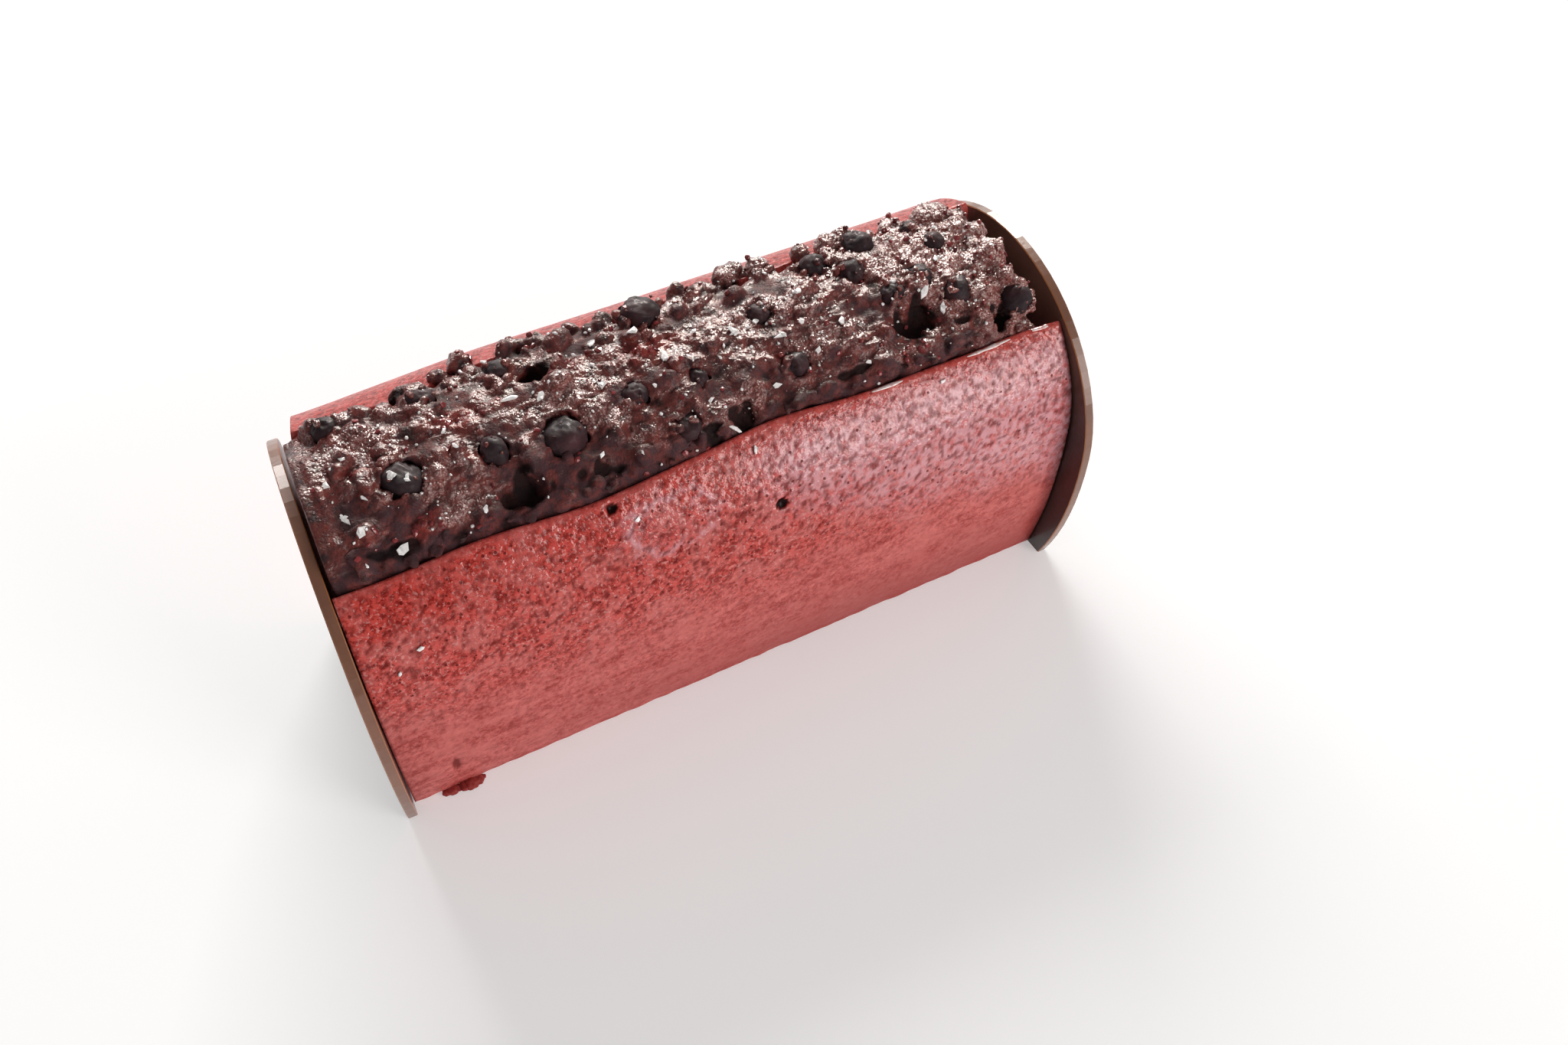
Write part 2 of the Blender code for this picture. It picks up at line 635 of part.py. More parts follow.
def stand_plate(plate, x, yaw, lean):
    """Turn a plate upright into the YZ plane, yaw and lean it, and set its foot on the floor."""
    upright = Euler((math.pi / 2, 0.0, math.pi / 2)).to_matrix()
    swing = Matrix.Rotation(yaw, 3, "Z") @ Matrix.Rotation(lean, 3, "Y")
    plate.rotation_quaternion = (swing @ upright).to_quaternion()
    plate.location = (x, 0.0, 0.0)
    bpy.context.view_layer.update()
    lowest = min((plate.matrix_world @ vertex.co).z for vertex in plate.data.vertices)
    plate.location.z -= lowest


def make_plates(collection, material):
    left = make_plate("end_plate_left", LEFT_PLATE_SIZE, False, collection, material)
    stand_plate(left, -0.5 * (LOG_LENGTH + PLATE_THICKNESS), LEFT_PLATE_YAW, LEFT_PLATE_LEAN)
    right = make_plate("end_plate_right", 1.0, True, collection, material)
    stand_plate(right, 0.5 * (LOG_LENGTH + PLATE_THICKNESS), 0.0, 0.0)


def centre_on_floor(collection):
    """Move everything so that the cake's box has its middle over the origin."""
    bpy.context.view_layer.update()
    corners = [obj.matrix_world @ v.co for obj in collection.objects for v in obj.data.vertices]
    shift = Vector((0.0, 0.0, 0.0))
    shift.x = -0.5 * (min(c.x for c in corners) + max(c.x for c in corners))
    shift.y = -0.5 * (min(c.y for c in corners) + max(c.y for c in corners))
    for obj in collection.objects:
        obj.location += shift


def main():
    clear_scene()
    cake = new_collection("yule_log_cake")
    materials = {name: make_material(name) for name in COLOURS}
    make_mousse(cake, materials["mousse"])
    make_compote(cake, materials["compote"])
    make_berries(cake, materials["berry"])
    make_plates(cake, materials["chocolate"])
    centre_on_floor(cake)


main()
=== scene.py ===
"""Dresses the yule log cake: pitted rose-red mousse, wet dark compote with whole berries,
white flakes and sugar, and thin chocolate end plates, on a plain pale floor.

The solids in the frame hold every place and size. Metres, +Z up, the log along X.
"""
import math
import random
from functools import partial

import bmesh
import bpy
import numpy as np
from bpy.props import FloatProperty, FloatVectorProperty, IntProperty, PointerProperty
from mathutils import Euler, Matrix, Vector, noise
from mathutils.bvhtree import BVHTree


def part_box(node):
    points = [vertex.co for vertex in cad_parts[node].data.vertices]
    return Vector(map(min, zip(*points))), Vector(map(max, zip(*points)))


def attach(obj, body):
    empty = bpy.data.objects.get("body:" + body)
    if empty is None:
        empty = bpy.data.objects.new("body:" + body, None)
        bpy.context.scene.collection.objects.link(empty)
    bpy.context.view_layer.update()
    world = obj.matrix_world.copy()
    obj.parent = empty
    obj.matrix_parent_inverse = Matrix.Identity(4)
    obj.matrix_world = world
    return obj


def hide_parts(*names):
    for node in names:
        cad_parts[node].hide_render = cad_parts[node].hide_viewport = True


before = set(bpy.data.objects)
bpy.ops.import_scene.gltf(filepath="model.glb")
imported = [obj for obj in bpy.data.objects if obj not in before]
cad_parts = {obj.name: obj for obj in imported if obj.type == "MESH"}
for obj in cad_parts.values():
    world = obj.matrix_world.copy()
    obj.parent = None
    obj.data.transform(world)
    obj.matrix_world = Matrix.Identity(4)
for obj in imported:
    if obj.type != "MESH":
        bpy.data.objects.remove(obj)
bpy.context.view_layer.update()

bl_info = {
    "name": "Yule Log Cake",
    "version": (1, 0, 0),
    "blender": (4, 5, 0),
    "location": "View3D > Sidebar > Yule Log",
    "description": "Builds the surfaces of a mousse yule log with berry compote",
    "category": "Add Mesh",
}

MM = 0.001

# The log's own shape, as the solids have it; SHIFT_X is where its middle lies in the frame
LOG_LENGTH = 163.0 * MM
SHIFT_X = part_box("end_plate_right")[0][0] - 0.5 * LOG_LENGTH
CLEARANCE = 0.3 * MM
MOUSSE_HALF_WIDTH = 35.9 * MM
MOUSSE_SHIFT = 2.2 * MM
MOUSSE_WIDEST_Z = 45.4 * MM
MOUSSE_DOME = 36.2 * MM
MOUSSE_FLANK = 80.4 * MM
FOOT_RADIUS = 2.2 * MM
FLANK_WOBBLE = 0.25 * MM
LEFT_SAG = 1.7 * MM
LEFT_SAG_START = -42.0 * MM
LEFT_END_CUT = 3.2 * MM
RIGHT_END_CUT = 2.0 * MM
END_CUT_START = 72.5 * MM
END_CUT_FULL = 93.0 * MM
LEFT_PLATE_YAW = math.radians(-2.76)
LEFT_PLATE_LEAN = math.radians(-1.1)
FRONT_LIP = -48.0
REAR_LIP = 18.0
TROUGH_DEPTH = 14.0 * MM
LIP_WIDTH = 1.5 * MM
FRONT_LIP_WAVES = ((-31, 17, -2.4), (12, 15, 2.6), (48, 14, 0.6), (72, 10, 1.2), (-70, 10, -0.6))
REAR_LIP_WAVES = ((-58, 9, -5.0), (-25, 12, 3.0), (6, 12, 1.5), (24, 9, -2.5), (66, 9, -3.0))
BUBBLE_HOLES = ((-26.8, 67.5, 1.2), (8.1, 56.4, 1.3))

# The heap, its berries and flakes, as the solids have them, in mm
COMPOTE_RISE = 1.0 * MM
COMPOTE_RELIEF = 1.5 * MM
RELIEF_SPACING = 8.5 * MM
COMPOTE_DIPS = (
    (-80, 13, 5, 7, 6.5),
    (-60, 10, 6, 3, 3.5),
    (-45, -20, 6, 4, 2.5),
    (48, -15, 6, 4, 3.0),
    (-20, -19, 7, 5, 1.5),
    (68, 12, 7, 4, 1.5),
)
HOLLOWS = (
    (-43.6, -19.6, 5.2, 2.9, 4.2),
    (-31.9, 1.7, 3.0, 2.4, 3.4),
    (48.2, -14.8, 5.4, 3.2, 5.0),
    (67.6, -19.4, 2.6, 2.6, 4.2),
    (4.4, -20.6, 3.4, 2.2, 3.4),
    (18.0, 9.6, 3.4, 2.0, 3.0),
    (-60.0, 9.4, 4.6, 1.8, 2.6),
)
BERRIES = (
    (-73.0, 7.6, 3.2, 0.3), (-54.5, 5.6, 3.3, -0.1), (-64.0, -10.5, 4.4, -0.6),
    (-32.0, -13.5, 4.9, -1.3), (-45.7, -11.5, 3.2, -0.1), (-38.0, 5.8, 3.1, 0.2),
    (-5.4, 8.4, 4.5, 1.4), (17.0, -2.0, 2.9, -0.1), (34.6, 5.6, 3.3, 0.5),
    (47.0, 7.9, 3.8, 0.9), (41.0, 0.4, 3.3, 0.3), (46.2, -8.2, 3.0, 0.3),
    (54.4, -6.2, 3.0, 0.1), (60.5, -12.0, 3.6, -0.2), (18.8, -15.4, 3.1, -0.1),
    (-2.0, -11.6, 2.6, -0.2), (-15.3, -10.4, 2.8, -0.2), (-8.1, -19.4, 3.1, 0.0),
    (72.8, -17.5, 3.8, 0.1), (62.6, 1.2, 2.8, 0.3), (60.2, 7.4, 2.4, 0.7),
)
BERRY_FLATNESS = 0.92
LARGE_FLAKES = (
    (-38.6, -3.0, 3.5, 20), (-33.0, -4.8, 2.6, 70), (9.4, -4.9, 3.3, 85), (-6.4, -5.6, 3.0, 80),
    (1.0, -21.9, 4.2, -55), (52.3, -11.0, 3.8, 25), (-21.0, -6.4, 3.0, 75),
    (-76.4, -13.5, 3.0, -60), (-74.6, -16.8, 2.5, 30), (-68.6, -21.0, 2.7, 15),
    (55.4, -14.4, 2.9, 50), (17.6, -9.8, 2.9, 5), (26.0, -2.0, 2.5, 30), (-10.0, 1.4, 2.6, 65),
    (15.2, -4.2, 2.4, 0), (-18.6, 3.6, 2.6, 40),
)
BERRY_FLAKES = ((3, 200, 30, 3.2), (3, 290, 38, 2.8), (12, 60, 35, 3.0))
MOUSSE_FLAKES = (
    (3.8, 68.1, 2.4, 70), (49.2, 68.0, 1.8, 20), (-24.2, 64.3, 2.4, 50),
    (-71.8, 57.0, 1.9, 15), (-77.0, 53.6, 1.8, 60),
)
SMALL_FLAKES = 26
SMALL_FLAKE_LENGTH = (1.3 * MM, 2.1 * MM)
FLAKE_THICKNESS = 0.55 * MM
FLAKE_SEAT = 0.94
FLAKE_SEED = 7
TWIN_LENGTH = 2.6 * MM
SLIM_LENGTH = 3.9 * MM

# Where the photograph was taken from, in the frame
CAMERA_PLACE = (-0.0855, -0.2051, 0.2689)
CAMERA_YAW = math.radians(-28.52)
CAMERA_PITCH = math.radians(-47.96)
CAMERA_ROLL = math.radians(-0.31)

# The windows that light it: name, setting with its power, place, size, tint
LIGHT_AIM = (0.0, 0.0, 0.05)
WINDOW_TINT = (1.0, 0.97, 0.945)
GLINT_TINT = (1.0, 0.94, 0.87)
WINDOWS = (
    ("back_window", "back_light", (0.2, 1.15, 0.78), (0.9, 0.5), WINDOW_TINT),
    ("front_window", "front_light", (0.56, -1.0, 0.37), (0.5, 0.7), WINDOW_TINT),
    ("glint_window", "glint_light", (0.68, 0.93, 0.9), (0.42, 0.36), GLINT_TINT),
)

COLOUR_A, COLOUR_B = 6, 7           # the inputs of a colour mix
SHIFT_PLANES = (9.3, 51.7, 94.1)    # far-apart planes of the noise, one for each part of a shift


def hex_rgb(code):
    """sRGB hex to linear red, green and blue."""
    channels = [int(code[k:k + 2], 16) / 255.0 for k in (1, 3, 5)]
    return tuple(c / 12.92 if c <= 0.04045 else ((c + 0.055) / 1.055) ** 2.4 for c in channels)


def colour_property(name, description, code):
    return FloatVectorProperty(name=name, description=description, subtype="COLOR", size=3,
                               min=0.0, max=1.0, default=hex_rgb(code))


class YuleLogMousse(bpy.types.PropertyGroup):
    deep: colour_property("Deep red", "The dark mottle of the upper half", "#8A1911")
    body: colour_property("Body red", "The light mottle of the upper half", "#CC453C")
    # low_dark is the darker mottle near the foot and also the colour of the painted shade along the foot
    low_dark: colour_property("Low dark", "The darker mottle near the foot", "#A03F3B")
    low_light: colour_property("Low light", "The paler mottle near the foot", "#D67571")
    lip: colour_property("Lip red", "The wet edge of the trough", "#BC504A")
    pit: colour_property("Pit red", "The bottom of the pits", "#68110C")
    cloud: colour_property("Pale cloud", "Broad paler clouds in the skin", "#CB6C67")
    # Painted glints: the pale specks stand in for the small glints of the wet skin
    speck: colour_property("Pale speck", "Fine bright specks between the pits", "#D9918C")
    # Painted sheen: a pale film colour that stands in for the front window's reflection on the right half
    painted_sheen: colour_property("Painted sheen", "Pale film colour painted on the right half as the window's sheen", "#D59CA3")
    pit_depth: FloatProperty(name="Pit depth", description="How deep the fine pits in the skin are",
                             subtype="DISTANCE", unit="LENGTH", default=0.13 * MM)
    pit_spacing: FloatProperty(name="Pit spacing", description="From one pit to the next",
                               subtype="DISTANCE", unit="LENGTH", default=1.25 * MM)


class YuleLogCompote(bpy.types.PropertyGroup):
    dark: colour_property("Dark fruit", "The cooked fruit in its juice", "#3B2428")
    wine: colour_property("Wine fruit", "Fruit nearer the surface", "#7B3933")
    red: colour_property("Red fruit", "Thin bits that let light through", "#8E3029")
    # pale is the seeds' own colour and also paints the glints on the pulp
    pale: colour_property("Pale seeds", "Seeds and pulp that catch the light", "#E6C8C1")
    # Painted shade: the near-black colour that the creases, hollows and the heap's rim are darkened to
    crease: colour_property("Crease shade", "Shade painted in the creases, hollows and rim of the heap", "#12090C")
    rosy: colour_property("Rosy pulp", "The wet pulp of the right end", "#8A433B")
    flesh: colour_property("Flesh", "Smooth dark fruit without seeds", "#442B30")
    voxel: FloatProperty(name="Grain", description="Size of the finest relief in the heap",
                         subtype="DISTANCE", unit="LENGTH", default=0.46 * MM)
    beads: IntProperty(name="Beads", description="How many seed beads stand out of the pulp", default=110)
    grains: IntProperty(name="Grains", description="How many fine grains lie on the pulp", default=1500)
    sugar: IntProperty(name="Sugar", description="How many sugar crystals lie about", default=420)
    bits: IntProperty(name="Fruit bits", description="How many small red bits lie on it", default=170)


class YuleLogBerries(bpy.types.PropertyGroup):
    skin: colour_property("Berry skin", "The dark skin of the whole berries", "#2C1F23")
    blush: colour_property("Berry blush", "Where the skin is thin and redder", "#48262A")
    bloom: colour_property("Berry bloom", "The pale wax left on the skin", "#564648")


class YuleLogFlakes(bpy.types.PropertyGroup):
    white: colour_property("Flake white", "The flakes and the sugar", "#FDFAF8")


class YuleLogPlates(bpy.types.PropertyGroup):
    face: colour_property("Chocolate face", "The flat faces of the end plates", "#63443A")
    # Painted shadow: the darker colour of the right plate's inner face beside the log
    face_shadow: colour_property("Face shadow", "Shadow painted on the right plate's inner face beside the log", "#241512")
    edge: colour_property("Chocolate edge", "The cut edges of the end plates", "#80543F")
    # bevel: the edge's orange-brown corner colour, paler as a painted highlight where the bevels catch the
    # light
    bevel: colour_property("Chocolate bevel", "The worn corners of the cut edges", "#A66436")


class YuleLogStage(bpy.types.PropertyGroup):
    floor: colour_property("Floor", "The pale floor", "#DCDCDC")
    glow: FloatProperty(name="Glow", description="Light of the floor itself, which keeps shadows pale",
                        subtype="FACTOR", default=0.345)
    lens: FloatProperty(name="Lens", description="Focal length on a 36 mm sensor", subtype="NONE",
                        default=31.75)
    back_light: FloatProperty(name="Back light", description="Window behind and to the right",
                              subtype="POWER", default=20.0)
    front_light: FloatProperty(name="Front light", description="Window in front and to the right",
                               subtype="POWER", default=7.0)
    glint_light: FloatProperty(name="Glint light", subtype="POWER", default=46.0,
                               description="Bright window that only the wet parts mirror")
    sky: FloatProperty(name="Sky", description="Even light from all round", subtype="FACTOR", default=0.32)
    dim_sky: FloatProperty(name="Dim sky", description="How bright the dark room is in reflections",
                           subtype="FACTOR", default=0.17)


# ---------------------------------------------------------------- shared helpers

def fill(node, inputs):
    """Give a node's inputs their values or links; a node stands for its first output in use."""
    for key, value in inputs.items():
        socket = node.inputs[key]
        if isinstance(value, bpy.types.Node):
            value = next(output for output in value.outputs if output.enabled)
        if isinstance(value, bpy.types.NodeSocket):
            node.id_data.links.new(value, socket)
        else:
            socket.default_value = (*value, 1.0)[:4] if socket.type == "RGBA" else value


def add_node(tree, kind, inputs=None, stops=(), **settings):
    """Add a node with its settings, a ramp's stops (position, grey value or colour) and its inputs."""
    node = tree.nodes.new("ShaderNode" + kind)
    for key, value in settings.items():
        setattr(node, key, value)
    for _ in stops[2:]:
        node.color_ramp.elements.new(0.5)
    for k, (position, value) in enumerate(stops):
        element = node.color_ramp.elements[k]
        element.position = position
        element.color = (*((value,) * 3 if isinstance(value, float) else value), 1.0)
    fill(node, inputs or {})
    return node


def new_material(name):
    """(material, function that adds a node to it, coordinates in millimetres)."""
    material = bpy.data.materials.new(name)
    material.use_nodes = True
    add = partial(add_node, material.node_tree)
    place = add("TexCoord").outputs["Object"]
    return material, add, add("VectorMath", {0: place, 1: (1000.0,) * 3}, operation="MULTIPLY")


def finish(material, inputs):
    """Give the material's shader its inputs."""
    fill(material.node_tree.nodes["Principled BSDF"], inputs)
    return material


def new_object(name, mesh, material, smooth=True):
    mesh.materials.append(material)
    if smooth:
        mesh.shade_smooth()
    obj = bpy.data.objects.new(name, mesh)
    bpy.context.scene.collection.objects.link(obj)
    return obj


def mesh_object(name, vertices, faces, material, smooth=True):
    mesh = bpy.data.meshes.new(name)
    mesh.from_pydata(vertices, [], faces)
    mesh.validate()
    return new_object(name, mesh, material, smooth)


def bmesh_object(name, bm, material, smooth=True):
    mesh = bpy.data.meshes.new(name)
    bm.to_mesh(mesh)
    bm.free()
    return new_object(name, mesh, material, smooth)


def take_place(obj, slot, *nodes):
    """The piece rides on the cake and stands for the nodes; slot is not used."""
    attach(obj, "root")
    if nodes:
        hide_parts(*nodes)


def store_mask(mesh, name, values):
    attribute = mesh.attributes.new(name, "FLOAT", "POINT")
    attribute.data.foreach_set("value", values)


def smoothstep(low, high, value):
    t = min(max((value - low) / (high - low), 0.0), 1.0)
    return t * t * (3.0 - 2.0 * t)


def noise_shift(place):
    """A smooth shift with three parts. noise.noise_vector would differ from run to run."""
    return Vector([noise.noise(place + Vector((0.0, 0.0, plane))) for plane in SHIFT_PLANES])


# ---------------------------------------------------------------- the log's shape

def waves(table, x):
    return sum(change * math.exp(-((x / MM - place) / reach) ** 2) for place, reach, change in table)


def front_lip(x):
    return FRONT_LIP + waves(FRONT_LIP_WAVES, x)


def rear_lip(x):
    return REAR_LIP + waves(REAR_LIP_WAVES, x)


def sag(x):
    return LEFT_SAG * smoothstep(LEFT_SAG_START, -0.5 * LOG_LENGTH, x)


def dome_point(x, degrees):
    """(y, z) on the dome of the log at an angle from straight up."""
    angle = math.radians(degrees)
    y = MOUSSE_SHIFT + MOUSSE_HALF_WIDTH * math.sin(angle)
    return y, MOUSSE_WIDEST_Z - sag(x) + MOUSSE_DOME * math.cos(angle)


def dome_angle(y):
    return math.degrees(math.asin((y - MOUSSE_SHIFT) / MOUSSE_HALF_WIDTH))


def height_angle(height):
    """Angle round the front of the dome of a place at this height in mm."""
    return -math.degrees(math.acos((height * MM - MOUSSE_WIDEST_Z) / MOUSSE_DOME))


def dome_normal(degrees):
    angle = math.radians(degrees)
    across = math.sin(angle) / MOUSSE_HALF_WIDTH
    upward = math.cos(angle) / MOUSSE_DOME
    return Vector((0.0, across, upward)).normalized()


def on_dome(x, degrees, rise=0.0):
    """A place on the dome in the frame; x is counted from the log's middle."""
    y, z = dome_point(x, degrees)
    return Vector((x + SHIFT_X, y, z)) + dome_normal(degrees) * rise


def flank_width(z):
    return MOUSSE_HALF_WIDTH * math.sqrt(1.0 - ((MOUSSE_WIDEST_Z - z) / MOUSSE_FLANK) ** 2)


def flank_side(x, side, rings, foot_rings):
    points = []
    for k in range(1, rings + 1):
        z = MOUSSE_WIDEST_Z + (FOOT_RADIUS - MOUSSE_WIDEST_Z) * k / rings
        points.append((side * flank_width(z), z - sag(x) * z / MOUSSE_WIDEST_Z))
    inner = flank_width(FOOT_RADIUS) - FOOT_RADIUS
    for k in range(1, foot_rings + 1):
        turn = 0.5 * math.pi * k / foot_rings
        points.append((side * (inner + FOOT_RADIUS * math.cos(turn)), FOOT_RADIUS * (1 - math.sin(turn))))
    return [(MOUSSE_SHIFT + y, z) for y, z in points]


def trough_points(x, count):
    y, z = dome_point(x, front_lip(x))
    front = Vector((y + 1.1 * LIP_WIDTH, z - 0.3 * LIP_WIDTH))
    y, z = dome_point(x, rear_lip(x))
    rear = Vector((y - 0.8 * LIP_WIDTH, z - 0.7 * LIP_WIDTH))
    middle = 0.5 * (front + rear)
    half = 0.5 * (rear - front)
    points = []
    for k in range(count + 1):
        turn = math.pi * k / count
        along = math.copysign(abs(math.cos(turn)) ** 0.55, -math.cos(turn))
        down = TROUGH_DEPTH * math.sin(turn) ** 0.6 if 0 < k < count else 0.0
        point = middle + half * along
        points.append((point.x, point.y - down))
    return points


def wobble(x, y, z):
    fade = smoothstep(0.0, 12.0 * MM, z)
    return fade * FLANK_WOBBLE * noise.noise(Vector((x, y, z)) / (17.0 * MM))


def left_plate_face(y, z):
    return -0.5 * LOG_LENGTH - math.tan(LEFT_PLATE_YAW) * y + math.tan(LEFT_PLATE_LEAN) * z


def end_cut(depth, y, z):
    """How far the pared top rear corner stands back from the plate."""
    return max(0.0, depth * (y + z - END_CUT_START) / (END_CUT_FULL - END_CUT_START))


def compote_rise(x, y):
    """Height of the compote above the dome's curve."""
    relief = noise.noise(Vector((x, y, 0.0)) / RELIEF_SPACING)
    relief += 0.5 * noise.noise(Vector((x, y, 0.05)) / (0.45 * RELIEF_SPACING))
    dips = 0.0
    for place_x, place_y, along, across, depth in COMPOTE_DIPS:
        distance = ((x / MM - place_x) / along) ** 2 + ((y / MM - place_y) / across) ** 2
        dips += depth * MM * math.exp(-distance)
    return COMPOTE_RISE + COMPOTE_RELIEF * relief - dips


# ---------------------------------------------------------------- mousse

FRONT_RINGS = 44                    # lip to widest height
FLANK_RINGS = 72
REAR_RINGS = 60
TROUGH_RINGS = 22
LOG_RINGS = 285
RAGGED_FOOT = 0.5 * MM
CRACK_PLACE = (-70.5, 12.0)         # a small gouge above the crumb, x and height in mm
CRACK_REACH = (1.0, 3.2)
CRACK_DEPTH = 0.9 * MM
BUBBLE_DEPTH = 1.1 * MM
BUBBLE_MASK = 2.0                   # pit mask in the bubble holes, above that of any pit
RING_PLACE = (-17.0, 61.0)          # x and height in mm
RING_SIZE = (9.5, 5.0)
JUICE_RUNS = ((56.5, 68.5), (73.5, 78.5), (32.5, 40.5))     # from x to x along the lip, in mm
JUICE_STEP = 0.5                    # mm
JUICE_RADIUS = 0.34 * MM
JUICE_SIDES = 8
# painted shade: the bubble holes are coloured almost black
BUBBLE_SHADE_COLOUR = "#1C0605"
CRUMB_LUMPS = (                     # x and radius in mm
    (-75.6, 1.0), (-74.2, 1.3), (-72.9, 1.0), (-71.4, 1.4), (-69.9, 1.7), (-68.2, 1.3), (-67.1, 0.7),
)
CRUMB_LINE = -27.6 * MM             # how far in front the crumb lies


def mousse_section(x):
    """(y, z, lip) round the log; lip is 1 on the edge of the trough."""
    low, high = rear_lip(x), front_lip(x)
    section = []
    for k in range(REAR_RINGS + 1):
        y, z = dome_point(x, low + (90.0 - low) * k / REAR_RINGS)
        section.append((y, z, 1.0 if k == 0 else 0.0))
    section += [(y, z, 0.0) for y, z in flank_side(x, 1.0, FLANK_RINGS // 2, 3)]
    section += [(MOUSSE_SHIFT + 0.75 * k * MOUSSE_HALF_WIDTH, 0.0, 0.0) for k in (0.7, 0.0, -0.7)]
    section += [(y, z, 0.0) for y, z in reversed(flank_side(x, -1.0, FLANK_RINGS, 6))]
    for k in range(FRONT_RINGS + 1):
        degrees = -90.0 + (high + 90.0) * k / FRONT_RINGS
        y, z = dome_point(x, degrees)
        section.append((y, z, smoothstep(high - 1.6, high, degrees)))
    y, z, _ = section[-1]
    for across, up in ((0.3, 0.27), (0.6, 0.36), (0.9, 0.15)):
        section.append((y + across * LIP_WIDTH, z + up * LIP_WIDTH, 1.0))
    section += [(y, z, 0.8) for y, z in trough_points(x, TROUGH_RINGS)]
    y, z, _ = section[0]
    for across, down in ((0.62, 0.3), (0.4, 0.02), (0.18, -0.04)):
        section.append((y - across * LIP_WIDTH, z - down * LIP_WIDTH, 1.0))
    return section


def pit_strength(x, z):
    """Where the skin is most pitted: the upper half, most of all left of the middle."""
    upper = smoothstep(18.0 * MM, 58.0 * MM, z)
    patch = 0.5 + 0.5 * noise.noise(Vector((x, 0.0, z)) / (19.0 * MM))
    return 0.25 + 0.75 * upper * (0.45 + 0.75 * patch)


def wet_ring(place):
    """1 on the glossy ring that a drop of juice left on the front, fading inside it. The mousse's colour
    paints a pale sheen on it as well.
    """
    across, up = (place.x - SHIFT_X) / MM - RING_PLACE[0], place.z / MM - RING_PLACE[1]
    away = math.hypot(across / RING_SIZE[0], up / RING_SIZE[1])
    if place.y > 0.0 or away > 2.0:
        return 0.0
    away += 0.35 * noise.noise(place / (3.2 * MM))
    drawn = smoothstep(-0.5, 0.15, noise.noise(place / (1.6 * MM)) - 0.02 * across)
    return max(drawn * math.exp(-((away - 1.0) / 0.2) ** 2), 0.1 * smoothstep(1.0, 0.6, away))


def mousse_relief(x, y, z, settings):
    """(outward displacement, pit mask) of the moulded skin at a place."""
    place = Vector((x, y, z))
    spacing = settings.pit_spacing
    grain = noise.noise(place / spacing) + 0.55 * noise.noise(place / (0.5 * spacing))
    pit = smoothstep(0.02, 0.48, grain) * pit_strength(x, z)
    streak = noise.noise(Vector((x / 9.0, y, z)) / (1.4 * MM)) * smoothstep(60.0 * MM, 25.0 * MM, z)
    out = (0.025 * MM * streak - settings.pit_depth * pit) * smoothstep(0.0, 5.0 * MM, z)
    if y < 0.0:
        for hole_x, hole_height, radius in BUBBLE_HOLES:
            away = math.hypot(x / MM - hole_x, (z / MM - hole_height) * 1.15)
            if away < radius:
                out -= BUBBLE_DEPTH * math.sqrt(1.0 - (away / radius) ** 2)
                pit = BUBBLE_MASK
        across = (x / MM - CRACK_PLACE[0]) / CRACK_REACH[0]
        along = (z / MM - CRACK_PLACE[1]) / CRACK_REACH[1]
        gouge = math.exp(-across * across - along * along)
        out -= CRACK_DEPTH * gouge
        pit = max(pit, smoothstep(0.25, 0.6, gouge))
    foot = smoothstep(3.5 * MM, 0.6 * MM, z) * smoothstep(0.0, 0.5 * MM, z)
    out += 0.5 * RAGGED_FOOT * foot * noise.noise(place / (3.4 * MM))
    return out, pit


def make_mousse_skin(settings, material):
    """The log's skin: its section carried from plate to plate, pitted and dented."""
    vertices, lips, pits = [], [], []
    for k in range(LOG_RINGS):
        share = k / (LOG_RINGS - 1)
        x = (share - 0.5) * LOG_LENGTH
        section = mousse_section(x)
        for j, (y, z, lip) in enumerate(section):
            before, after = section[j - 1], section[(j + 1) % len(section)]
            normal = Vector((before[1] - after[1], after[0] - before[0]))
            normal = -normal.normalized() if normal.length else Vector((0.0, 0.0))
            out, pit = mousse_relief(x, y, z, settings)
            outward = Vector((y - MOUSSE_SHIFT, z - MOUSSE_WIDEST_Z)).normalized() * wobble(x, y, z)
            step = out * (1.0 - 0.7 * lip) if z > 0.3 * MM else 0.0
            y, z = y + outward.x - normal.x * step, z + outward.y - normal.y * step
            near = left_plate_face(y, z) + CLEARANCE + end_cut(LEFT_END_CUT, y, z)
            far = 0.5 * LOG_LENGTH - CLEARANCE - end_cut(RIGHT_END_CUT, y, z)
            vertices.append((near + (far - near) * share + SHIFT_X, y, max(z, 0.0)))
            lips.append(lip)
            pits.append(pit)
    count = len(vertices) // LOG_RINGS
    faces = []
    for k in range(LOG_RINGS - 1):
        for j in range(count):
            i = (j + 1) % count
            faces.append((k * count + j, (k + 1) * count + j, (k + 1) * count + i, k * count + i))
    faces.append(tuple(range(count)))
    faces.append(tuple(reversed(range((LOG_RINGS - 1) * count, LOG_RINGS * count))))
    skin = mesh_object("mousse_skin", vertices, faces, material)
    bm = bmesh.new()
    bm.from_mesh(skin.data)
    bmesh.ops.recalc_face_normals(bm, faces=bm.faces)
    bmesh.ops.triangulate(bm, faces=[face for face in bm.faces if len(face.verts) > 4])
    bm.to_mesh(skin.data)
    bm.free()
    store_mask(skin.data, "lip", lips)
    store_mask(skin.data, "pit", pits)
    store_mask(skin.data, "gloss", [wet_ring(vertex.co) for vertex in skin.data.vertices])
    take_place(skin, "mousse", "mousse_log")
    return skin


